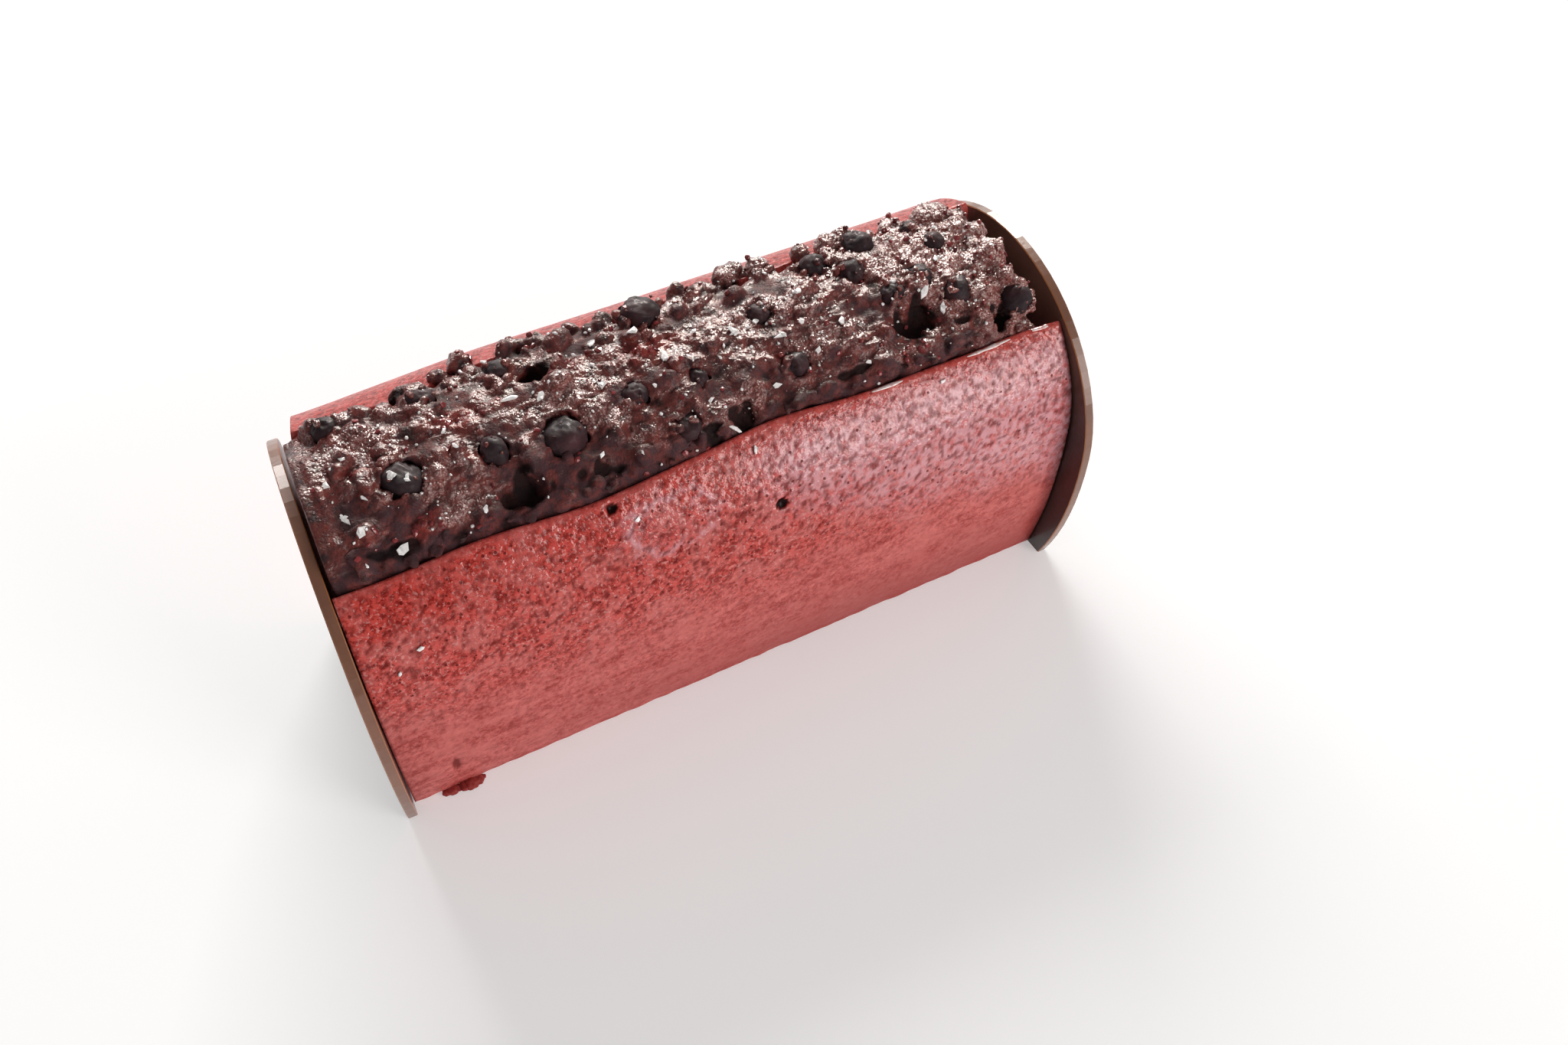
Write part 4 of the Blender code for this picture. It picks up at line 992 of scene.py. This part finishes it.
def compote_material(settings):
    """Cooked berries in their juice: nearly black where it is thick, wine and brick red
    where it is thin. The flesh is dull, and the seedy pulp is wet and glints on every grain.
    The creases, hollows and rim are darkened as painted shade, and pale specks on the pulp are
    painted glints over the seeds' own pale colour."""
    material, add, mm = new_material("wet_berry_compote")
    pulp, red, flesh, crease, blush = [add("Attribute", attribute_name=name).outputs["Fac"]
                                       for name in HEAP_MASKS]
    cloud = add("TexNoise", {"Vector": mm, "Scale": 1 / 2.6, "Detail": 5.0, "Roughness": 0.7})
    stretched = add("VectorMath", {0: mm, 1: (0.7, 1.0, 1.0)}, operation="MULTIPLY")
    strands = add("TexNoise", {"Vector": stretched, "Scale": 1 / 0.8, "Detail": 3.0, "Roughness": 0.6,
                               "Distortion": 0.8})
    grains = add("TexVoronoi", {"Vector": mm, "Scale": 1 / 0.7})
    fine = add("TexNoise", {"Vector": mm, "Scale": 1 / 0.42, "Detail": 2.0})
    fruit = add("ValToRGB", {0: cloud}, stops=((0.36, settings.dark), (0.6, settings.wine)))
    streak = add("ValToRGB", {0: strands}, stops=((0.38, 0.15), (0.58, 1.0)))
    red_part = add("Math", {0: red, 1: streak}, operation="MULTIPLY")
    reddened = add("Mix", {0: red_part, COLOUR_A: fruit, COLOUR_B: settings.red}, data_type="RGBA")
    thick = add("ValToRGB", {0: cloud}, stops=((0.4, 1.0), (0.62, 0.4)))
    flesh_part = add("Math", {0: flesh, 1: thick}, operation="MULTIPLY")
    plain = add("Mix", {0: flesh_part, COLOUR_A: reddened, COLOUR_B: settings.flesh}, data_type="RGBA")
    rosy_part = add("Math", {0: blush, 1: 0.85}, operation="MULTIPLY")
    fleshed = add("Mix", {0: rosy_part, COLOUR_A: plain, COLOUR_B: settings.rosy}, data_type="RGBA")
    # Painted glints: pale specks on the pulp's ridges, most at the right end, over the seeds' pale colour
    lit = add("ValToRGB", {0: strands}, stops=((0.48, 0.0), (0.57, 1.0)))
    seed = add("ValToRGB", {0: grains}, stops=((0.25, 0.95), (0.6, 0.2)))
    speck = add("Math", {0: lit, 1: seed}, operation="MULTIPLY")
    painted_glint_share = add("Math", {0: speck, 1: blush}, operation="MULTIPLY", use_clamp=True)
    glint_seeded = add("Mix", {0: painted_glint_share, COLOUR_A: fleshed, COLOUR_B: settings.pale}, data_type="RGBA")
    # Painted shade: the creases, hollows and the heap's rim are darkened towards a near-black colour
    shade = add("MapRange", {"Value": crease, "To Max": 0.9})
    crease_shaded = add("Mix", {0: shade, COLOUR_A: glint_seeded, COLOUR_B: settings.crease}, data_type="RGBA")
    drier = add("Math", {0: flesh, 1: crease}, operation="MAXIMUM")
    gloss = add("MapRange", {"Value": drier, "To Min": 0.36, "To Max": 0.8})
    level = add("MapRange", {"Value": pulp, "To Min": 0.28, "To Max": 0.75})
    grainy = add("Math", {0: grains, 1: -0.8, 2: strands}, operation="MULTIPLY_ADD")
    bumpy = add("Math", {0: grainy, 1: level}, operation="MULTIPLY")
    relief = add("Math", {0: fine, 1: 0.32, 2: bumpy}, operation="MULTIPLY_ADD")
    bump = add("Bump", {"Height": relief, "Strength": 1.0, "Distance": 0.46 * MM})
    open_share = add("Math", {0: 1.0, 1: drier}, operation="SUBTRACT", use_clamp=True)
    juice = add("MapRange", {"Value": pulp, "From Max": 0.8, "To Min": 0.28, "To Max": 1.0})
    wet = add("Math", {0: juice, 1: open_share}, operation="MULTIPLY")
    return finish(material, {"Base Color": crease_shaded, "Roughness": gloss, "Normal": bump,
                             "Coat Normal": bump, "Coat Weight": wet, "IOR": 1.45,
                             "Specular IOR Level": 0.3, "Specular Tint": (1.0, 0.88, 0.8),
                             "Coat IOR": 1.6, "Coat Roughness": 0.11})


def toned_material(name, stops, roughness):
    """Small wet pieces, each with its own tone along the stops."""
    material, add, mm = new_material(name)
    tone = add("Attribute", attribute_name="tone").outputs["Fac"]
    grain = add("TexNoise", {"Vector": mm, "Scale": 1 / 0.6, "Detail": 2.0})
    mixed = add("Math", {0: grain, 1: 0.3, 2: tone}, operation="MULTIPLY_ADD")
    ramp = add("ValToRGB", {0: mixed}, stops=[(position, hex_rgb(code)) for position, code in stops])
    return finish(material, {"Base Color": ramp, "Roughness": roughness, "IOR": 1.45, "Coat Weight": 0.4,
                             "Specular Tint": (1.0, 0.86, 0.82), "Coat Roughness": 0.08})


def open_places(heap):
    """(places, normals) of the heap's faces that lie open to view."""
    faces = heap.data.polygons
    places, normals = np.empty(3 * len(faces)), np.empty(3 * len(faces))
    faces.foreach_get("center", places)
    faces.foreach_get("normal", normals)
    places, normals = places.reshape(-1, 3), normals.reshape(-1, 3)
    upward = normals[:, 2] > 0.1
    places, normals = places[upward], normals[upward]
    free = np.array([dome_room(place.x - SHIFT_X, place) > 0.6 for place in map(Vector, places)])
    return places[free], normals[free]


def heap_spots(places, normals, count, seed, share):
    """Seeded spots on the heap as (place, normal); share says how likely each place is."""
    chosen = random.Random(seed).choices(range(len(places)), weights=share, k=count)
    return [(Vector(places[k]), Vector(normals[k])) for k in chosen]


def scatter(name, spots, seed, size, flatness, sink, material, smooth, divisions):
    """One joined mesh of small uneven pieces lying on the spots."""
    draw = random.Random(seed)
    template = bmesh.new()
    bmesh.ops.create_icosphere(template, subdivisions=divisions, radius=1.0)
    ball = [vertex.co.copy() for vertex in template.verts]
    triangles = [tuple(vertex.index for vertex in face.verts) for face in template.faces]
    template.free()
    vertices, faces, tones = [], [], []
    for place, normal in spots:
        half = draw.uniform(*size)
        stretch = (1.0, draw.uniform(0.55, 1.0), draw.uniform(*flatness))
        turn = normal.to_track_quat("Z", "Y").to_matrix() @ Matrix.Rotation(draw.uniform(0, 6.28), 3, "Z")
        first = len(vertices)
        centre = place + normal * half * stretch[2] * (1.0 - sink)
        for corner in ball:
            local = Vector([c * s for c, s in zip(corner, stretch)]) * draw.uniform(0.82, 1.12)
            vertices.append(centre + turn @ local * half)
        faces += [tuple(first + index for index in triangle) for triangle in triangles]
        tones += [draw.uniform(0.0, 0.8)] * len(ball)
    piece = mesh_object(name, vertices, faces, material, smooth)
    store_mask(piece.data, "tone", tones)
    take_place(piece, "compote")


# ---------------------------------------------------------------- berries

def berry_centre(number):
    x, y, _, lift = (value * MM for value in BERRIES[number - 1])
    return on_dome(x, dome_angle(y), lift)


def berry_matrix(number):
    draw = random.Random(number)
    tilt = Euler((draw.uniform(-0.5, 0.5), draw.uniform(-0.5, 0.5), draw.uniform(0.0, 6.28)))
    return Matrix.Translation(berry_centre(number)) @ tilt.to_matrix().to_4x4()


def make_berry(number, material):
    """A round berry, shrunk, dented and wrinkled by cooking, with its crown's small ring."""
    radius = BERRIES[number - 1][2] * MM
    bm = bmesh.new()
    bmesh.ops.create_uvsphere(bm, u_segments=52, v_segments=36, radius=1.0)
    for vertex in bm.verts:
        place = vertex.co.copy()
        off = place + Vector((number * 3.7, 0.0, 0.0))
        dent = 0.17 * noise.noise(off * 1.1) + 0.05 * noise.noise(off * 2.6)
        wrinkle = 0.08 * abs(noise.noise(off * 2.9 + Vector((0.0, 4.0, 0.0))))
        pucker = 0.022 * noise.noise(off * 7.0)
        rim = math.hypot(place.x, place.y)
        crown = 0.05 * math.exp(-((rim - 0.3) / 0.08) ** 2) - 0.1 * math.exp(-(rim / 0.2) ** 2)
        crown *= 1.0 if place.z > 0.0 else 0.0
        vertex.co = place * (0.985 + dent - wrinkle + pucker + crown)
    bmesh.ops.scale(bm, vec=(radius, radius, radius * BERRY_FLATNESS), verts=bm.verts)
    tip = Matrix.Rotation(random.Random(number + 90).uniform(0.4, 1.4), 4, "X")
    bmesh.ops.transform(bm, matrix=berry_matrix(number) @ tip, verts=bm.verts)
    berry = bmesh_object(f"berry_skin_{number:02d}", bm, material)
    take_place(berry, "berry", f"berry_{number:02d}")


def berry_material(settings):
    """Cooked berry skin: almost black, glossy with juice, a thin grey wax left in places."""
    material, add, mm = new_material("juicy_berry_skin")
    broad = add("TexNoise", {"Vector": mm, "Scale": 1 / 5.0, "Detail": 3.0})
    fine = add("TexNoise", {"Vector": mm, "Scale": 1 / 0.8, "Detail": 3.0})
    ramp = add("ValToRGB", {0: broad}, stops=((0.4, settings.skin), (0.72, settings.blush)))
    waxy = add("ValToRGB", {0: fine}, stops=((0.52, 0.0), (0.8, 0.35)))
    mixed = add("Mix", {0: waxy, COLOUR_A: ramp, COLOUR_B: settings.bloom}, data_type="RGBA")
    gloss = add("MapRange", {"Value": fine, "From Min": 0.3, "From Max": 0.7, "To Min": 0.58,
                             "To Max": 0.82})
    bump = add("Bump", {"Height": fine, "Strength": 0.45, "Distance": 0.15 * MM})
    return finish(material, {"Base Color": mixed, "Roughness": gloss, "Normal": bump, "IOR": 1.45,
                             "Specular IOR Level": 0.25, "Coat Weight": 0.06, "Coat Roughness": 0.2})


# ---------------------------------------------------------------- flakes

def near_berry(x, y, reach):
    return any(math.hypot(x - bx * MM, y - by * MM) < r * MM + reach for bx, by, r, _ in BERRIES)


def in_hollow(x, y, reach):
    return any(abs(x - place_x * MM) < along * MM + reach and abs(y - place_y * MM) < across * MM + reach
               for place_x, place_y, along, across, _ in HOLLOWS)


def flake_rows():
    """(x, y, length, turn) of every flake on the heap, in mm and degrees, as the solids have them."""
    draw = random.Random(FLAKE_SEED + 2)
    rows = [(x * MM, y * MM, length * MM, turn) for x, y, length, turn in LARGE_FLAKES]
    while len(rows) < len(LARGE_FLAKES) + SMALL_FLAKES:
        x = draw.uniform(-78.0 * MM, 66.0 * MM)
        y = dome_point(x, draw.uniform(front_lip(x) + 6.0, rear_lip(x) - 5.0))[0]
        length = draw.uniform(*SMALL_FLAKE_LENGTH)
        apart = all(math.hypot(x - row[0], y - row[1]) > 4.0 * MM for row in rows)
        if apart and not near_berry(x, y, 0.6 * length + CLEARANCE) and not in_hollow(x, y, length):
            rows.append((x, y, length, draw.uniform(0.0, 180.0)))
    return [(x / MM, y / MM, length / MM, turn) for x, y, length, turn in rows]


def add_flake(bm, place, normal, length, turn, draw):
    """A thin broken crystal, with a smaller shard across it when it is large."""
    facing = normal.to_track_quat("Z", "Y").to_matrix() @ Matrix.Rotation(math.radians(turn), 3, "Z")
    add_shard(bm, place, facing, length, draw)
    if TWIN_LENGTH < length < SLIM_LENGTH:
        lean = Euler((draw.uniform(-0.7, 0.7), draw.uniform(-0.7, 0.7), draw.uniform(0.8, 2.4))).to_matrix()
        aside = facing @ Vector((draw.uniform(-0.25, 0.25) * length, 0.0, 0.2 * FLAKE_THICKNESS))
        add_shard(bm, place + aside, facing @ lean, 0.62 * length, draw)


def add_shard(bm, place, facing, length, draw):
    """One angular shard: an uneven outline of four to six corners with a chipped rim."""
    sides = draw.randint(4, 6)
    width = draw.uniform(0.34, 0.8) * (0.5 if length > SLIM_LENGTH else 1.0)
    outline = []
    for k in range(sides):
        angle = 2.0 * math.pi * (k + draw.uniform(-0.38, 0.38)) / sides
        reach = 0.5 * length * draw.uniform(0.62, 1.12)
        outline.append(Vector((reach * math.cos(angle), width * reach * math.sin(angle), 0.0)))
    rings = []
    for share, height in ((0.8, -0.5), (1.0, -0.15), (0.93, 0.32)):
        ring = []
        for corner in outline:
            lift = FLAKE_THICKNESS * (height + draw.uniform(-0.14, 0.14))
            ring.append(bm.verts.new(place + facing @ (corner * share + Vector((0.0, 0.0, lift)))))
        rings.append(ring)
    for low, high in zip(rings, rings[1:]):
        for k in range(sides):
            j = (k + 1) % sides
            bm.faces.new((low[k], low[j], high[j], high[k]))
    bm.faces.new(list(reversed(rings[0])))
    top = bm.verts.new(place + facing @ Vector((draw.uniform(-0.15, 0.15) * length, 0.0,
                                                FLAKE_THICKNESS * draw.uniform(0.4, 0.65))))
    for k in range(sides):
        bm.faces.new((rings[-1][k], rings[-1][(k + 1) % sides], top))


def make_flakes(material):
    """The white flakes where the solids have them: on the heap, the berries and the mousse."""
    draw = random.Random(FLAKE_SEED + 40)
    tree = BVHTree.FromObject(bpy.data.objects["compote_heap"], bpy.context.evaluated_depsgraph_get())
    bm = bmesh.new()
    for x, y, length, turn in flake_rows():
        angle = dome_angle(y * MM)
        above = on_dome(x * MM, angle, 8.0 * MM)
        hit = tree.ray_cast(above, -dome_normal(angle))[0]
        spot = on_dome(x * MM, angle, compote_rise(x * MM, y * MM) + 1.1 * MM)
        if hit:
            spot = hit.lerp(spot, 0.35 if (spot - hit).dot(dome_normal(angle)) > 0.0 else 0.0)
        spot += dome_normal(angle) * 0.3 * MM
        tilt = dome_normal(angle) + Vector((draw.uniform(-0.25, 0.25), draw.uniform(-0.25, 0.25), 0.0))
        add_flake(bm, spot, tilt.normalized(), 1.12 * length * MM, turn, draw)
    take_place(bmesh_object("heap_flakes", bm, material, smooth=False), "compote")
    bm = bmesh.new()
    for number, bearing, tilt, length in BERRY_FLAKES:
        outward = Euler((0.0, math.radians(tilt), math.radians(bearing))).to_matrix().col[2]
        place = berry_centre(number) + outward * BERRIES[number - 1][2] * MM * FLAKE_SEAT
        add_flake(bm, place, outward, length * MM, 30.0, draw)
    take_place(bmesh_object("berry_flakes", bm, material, smooth=False), "compote")
    bm = bmesh.new()
    for x, height, length, turn in MOUSSE_FLAKES:
        angle = height_angle(height)
        add_flake(bm, on_dome(x * MM, angle, 0.25 * MM), dome_normal(angle), length * MM, turn, draw)
    take_place(bmesh_object("mousse_flakes", bm, material, smooth=False), "mousse")


def flake_material(settings):
    """Salt and sugar crystal: white, faintly see-through, with satin broken faces."""
    material, add, mm = new_material("white_crystal_flake")
    grain = add("TexNoise", {"Vector": mm, "Scale": 1 / 0.6, "Detail": 3.0})
    ramp = add("ValToRGB", {0: grain}, stops=((0.3, hex_rgb("#E6DDDA")), (0.55, settings.white)))
    return finish(material, {"Base Color": ramp, "Roughness": 0.35, "IOR": 1.54, "Subsurface Weight": 0.2,
                             "Subsurface Radius": (1.0, 0.9, 0.9), "Subsurface Scale": 0.4 * MM})


# ---------------------------------------------------------------- end plates

def chocolate_material(settings):
    """Tempered chocolate poured thin and cut to shape: satin dark faces with faint pour
    marks, and a paler, drier cut edge. The bevels are paler still as a painted highlight over
    their orange-brown, and the right plate's inner face is darkened beside the log as painted shadow."""
    material, add, mm = new_material("tempered_chocolate")
    normal = add("NewGeometry")
    axes = add("SeparateXYZ", {0: normal.outputs["True Normal"]})
    flat = add("Math", {0: axes.outputs["X"]}, operation="ABSOLUTE")
    face = add("ValToRGB", {0: flat}, stops=((0.8, 0.0), (0.95, 1.0)))
    # The bevels are paler: their own orange-brown with a painted highlight
    bevelled = add("ValToRGB", {0: flat}, stops=((0.2, 0.0), (0.5, 1.0)))
    cut = add("Mix", {0: bevelled, COLOUR_A: settings.edge, COLOUR_B: settings.bevel}, data_type="RGBA")
    pour = add("TexNoise", {"Vector": mm, "Scale": 1 / 14.0, "Detail": 4.0})
    fine = add("TexNoise", {"Vector": mm, "Scale": 1 / 1.1, "Detail": 3.0})
    base = add("Mix", {0: face, COLOUR_A: cut, COLOUR_B: settings.face}, data_type="RGBA")
    clouded = add("ValToRGB", {0: pour}, stops=((0.35, 0.78), (0.7, 1.12)))
    spots = add("SeparateXYZ", {0: mm})
    # Painted shadow: the right plate's inner face darkens downwards beside the log
    face_shadow = add("MapRange", {"Value": spots.outputs["Z"], "From Min": 68.0, "From Max": 46.0})
    inward = add("MapRange", {"Value": spots.outputs["X"], "From Min": 70.0, "From Max": 75.0})
    shadow_zone = add("Math", {0: face_shadow, 1: inward}, operation="MULTIPLY")
    inner = add("MapRange", {"Value": axes.outputs["X"], "From Min": -0.7, "From Max": -0.9})
    shadow_on_face = add("Math", {0: shadow_zone, 1: inner}, operation="MULTIPLY")
    clean = add("Mix", {0: 1.0, COLOUR_A: base, COLOUR_B: clouded}, data_type="RGBA", blend_type="MULTIPLY")
    face_shadowed = add("Mix", {0: shadow_on_face, COLOUR_A: clean, COLOUR_B: settings.face_shadow}, data_type="RGBA")
    gloss = add("MapRange", {"Value": pour, "From Min": 0.3, "From Max": 0.7, "To Min": 0.28,
                             "To Max": 0.44})
    bump = add("Bump", {"Height": fine, "Strength": 0.25, "Distance": 0.2 * MM})
    return finish(material, {"Base Color": face_shadowed, "Roughness": gloss, "Normal": bump, "IOR": 1.46,
                             "Coat Weight": 0.35, "Coat Roughness": 0.15})


# ---------------------------------------------------------------- stage

FLOOR_HALF = 3.0
FLOOR_TOP = -0.05 * MM              # just under the cake, so that the two don't share a face


def make_floor(settings):
    """Matt pale laminate, faintly clouded; a little light of its own keeps the shadows soft."""
    bm = bmesh.new()
    bmesh.ops.create_grid(bm, x_segments=4, y_segments=4, size=FLOOR_HALF)
    bmesh.ops.translate(bm, verts=bm.verts, vec=(0.0, 0.0, FLOOR_TOP))
    material, add, mm = new_material("pale_table_top")
    grain = add("TexNoise", {"Vector": mm, "Scale": 1 / 30.0, "Detail": 2.0})
    tone = add("MapRange", {"Value": grain, "To Min": 0.99, "To Max": 1.0})
    tint = add("Mix", {0: 1.0, COLOUR_A: settings.floor, COLOUR_B: tone}, data_type="RGBA",
               blend_type="MULTIPLY")
    finish(material, {"Base Color": tint, "Roughness": 0.7, "Specular IOR Level": 0.0,
                      "Emission Color": (1.0, 1.0, 1.0), "Emission Strength": settings.glow})
    bmesh_object("floor", bm, material)


def add_window(name, place, size, power, tint):
    """A window that faces the cake; the glint window shows only in what mirrors it."""
    light = bpy.data.lights.new(name, "AREA")
    light.shape = "RECTANGLE"
    light.size, light.size_y = size
    light.energy = power
    light.color = tint
    obj = bpy.data.objects.new(name, light)
    obj.location = place
    obj.rotation_mode = "QUATERNION"
    obj.rotation_quaternion = (Vector(place) - Vector(LIGHT_AIM)).to_track_quat("Z", "Y")
    obj.visible_diffuse = name != "glint_window"
    bpy.context.scene.collection.objects.link(obj)


def make_camera(settings):
    """A camera at the photograph's place, turned as it was."""
    camera = bpy.data.cameras.new("camera")
    camera.sensor_width = 36.0
    camera.lens = settings.lens
    camera.clip_start, camera.clip_end = 0.01, 20.0
    obj = bpy.data.objects.new("camera", camera)
    turn = (Matrix.Rotation(CAMERA_YAW, 4, "Z") @ Matrix.Rotation(CAMERA_PITCH, 4, "X")
            @ Matrix.Rotation(CAMERA_ROLL, 4, "Y") @ Matrix.Rotation(math.radians(90.0), 4, "X"))
    obj.matrix_world = Matrix.Translation(CAMERA_PLACE) @ turn
    bpy.context.scene.collection.objects.link(obj)
    bpy.context.scene.camera = obj


# ---------------------------------------------------------------- operators

class YULELOG_OT_mousse(bpy.types.Operator):
    """Make the mousse log and the crumb at its foot"""
    bl_idname = "yulelog.mousse"
    bl_label = "Mousse log"

    def execute(self, context):
        settings = context.scene.yule_mousse
        material = mousse_material(settings)
        make_mousse_skin(settings, material)
        make_highlight_juice_lines(juice_highlight_material())
        make_crumb(material)
        return {"FINISHED"}


class YULELOG_OT_compote(bpy.types.Operator):
    """Make the heap of compote with its seeds, fruit bits and sugar"""
    bl_idname = "yulelog.compote"
    bl_label = "Berry compote"

    def execute(self, context):
        settings = context.scene.yule_compote
        heap = make_heap(settings, compote_material(settings))
        places, normals = open_places(heap)
        pulp, red, _, _ = heap_zones(places)
        rightward = ease(10.0 * MM, 50.0 * MM, places[:, 0])
        clear = 1.0 - hollow_depth(places[:, 0] - SHIFT_X, places[:, 1])
        bead = toned_material("wet_seed_bead", BEAD_TONES, 0.16)
        grain = toned_material("wet_pulp_grain", GRAIN_GLINT_TONES, 0.15)
        bit = toned_material("thin_red_fruit", BIT_TONES, 0.25)
        crystal = flake_material(context.scene.yule_flakes)
        kinds = (   # name, count, share, size, flatness, sink, material, smooth, divisions
            ("pulp_beads", settings.beads, 0.02 + pulp * rightward, BEAD_SIZE, (0.7, 1.0), 0.4, bead,
             True, 2),
            ("pulp_grains", settings.grains, 0.02 + pulp ** 2, GRAIN_SIZE, (0.6, 1.0), 0.3, grain,
             True, 1),
            ("fruit_bits", settings.bits, 0.05 + red, BIT_SIZE, (0.25, 0.5), 0.4, bit, False, 1),
            ("sugar_crystals", settings.sugar, 0.4 + pulp, SUGAR_SIZE, (0.6, 1.0), 0.2, crystal,
             False, 1),
        )
        for k, (name, count, share, *look) in enumerate(kinds):
            spots = heap_spots(places, normals, count, HEAP_SEED + 2 * k, clear * share)
            scatter(name, spots, HEAP_SEED + 2 * k + 1, *look)
        return {"FINISHED"}


class YULELOG_OT_berries(bpy.types.Operator):
    """Make the whole berries"""
    bl_idname = "yulelog.berries"
    bl_label = "Whole berries"

    def execute(self, context):
        material = berry_material(context.scene.yule_berries)
        for number in range(1, len(BERRIES) + 1):
            make_berry(number, material)
        return {"FINISHED"}


class YULELOG_OT_flakes(bpy.types.Operator):
    """Lay the white flakes on the heap, the berries and the mousse"""
    bl_idname = "yulelog.flakes"
    bl_label = "White flakes"

    def execute(self, context):
        make_flakes(flake_material(context.scene.yule_flakes))
        return {"FINISHED"}


class YULELOG_OT_plates(bpy.types.Operator):
    """Finish the chocolate end plates"""
    bl_idname = "yulelog.plates"
    bl_label = "End plates"

    def execute(self, context):
        material = chocolate_material(context.scene.yule_plates)
        for name in ("end_plate_left", "end_plate_right"):
            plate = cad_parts[name]
            for slot in plate.material_slots:
                slot.material = material
        return {"FINISHED"}


class YULELOG_OT_stage(bpy.types.Operator):
    """Set up the floor, the lights and the camera"""
    bl_idname = "yulelog.stage"
    bl_label = "Stage"

    def execute(self, context):
        settings = context.scene.yule_stage
        make_floor(settings)
        make_camera(settings)
        for name, power, place, size, tint in WINDOWS:
            add_window(name, place, size, getattr(settings, power), tint)
        world = bpy.data.worlds.new("even_sky")
        world.use_nodes = True
        tree = world.node_tree
        mirrored = add_node(tree, "LightPath").outputs["Is Glossy Ray"]
        strength = add_node(tree, "MapRange", {"Value": mirrored, "To Min": settings.sky,
                                               "To Max": settings.dim_sky})
        fill(tree.nodes["Background"], {"Color": (1.0, 1.0, 1.0), "Strength": strength})
        context.scene.world = world
        context.scene.view_settings.view_transform = "Standard"
        return {"FINISHED"}


class YULELOG_PT_panel(bpy.types.Panel):
    """Lists the steps that build the cake"""
    bl_idname = "YULELOG_PT_panel"
    bl_label = "Yule Log Cake"
    bl_space_type = "VIEW_3D"
    bl_region_type = "UI"
    bl_category = "Yule Log"

    def draw(self, context):
        for operator in OPERATORS:
            self.layout.operator(operator.bl_idname)
        for name, group in SETTINGS.items():
            box = self.layout.box()
            box.label(text=name.replace("yule_", "").title())
            for key in group.__annotations__:
                box.prop(getattr(context.scene, name), key)


OPERATORS = (YULELOG_OT_mousse, YULELOG_OT_compote, YULELOG_OT_berries, YULELOG_OT_flakes,
             YULELOG_OT_plates, YULELOG_OT_stage)
SETTINGS = {
    "yule_mousse": YuleLogMousse,
    "yule_compote": YuleLogCompote,
    "yule_berries": YuleLogBerries,
    "yule_flakes": YuleLogFlakes,
    "yule_plates": YuleLogPlates,
    "yule_stage": YuleLogStage,
}
CLASSES = (*SETTINGS.values(), *OPERATORS, YULELOG_PT_panel)


def register():
    for cls in CLASSES:
        bpy.utils.register_class(cls)
    for name, group in SETTINGS.items():
        setattr(bpy.types.Scene, name, PointerProperty(type=group))


def unregister():
    for name in SETTINGS:
        delattr(bpy.types.Scene, name)
    for cls in reversed(CLASSES):
        bpy.utils.unregister_class(cls)


def main():
    register()
    for step in (bpy.ops.yulelog.mousse, bpy.ops.yulelog.compote, bpy.ops.yulelog.berries,
                 bpy.ops.yulelog.flakes, bpy.ops.yulelog.plates, bpy.ops.yulelog.stage):
        step()


if __name__ == "__main__":
    main()
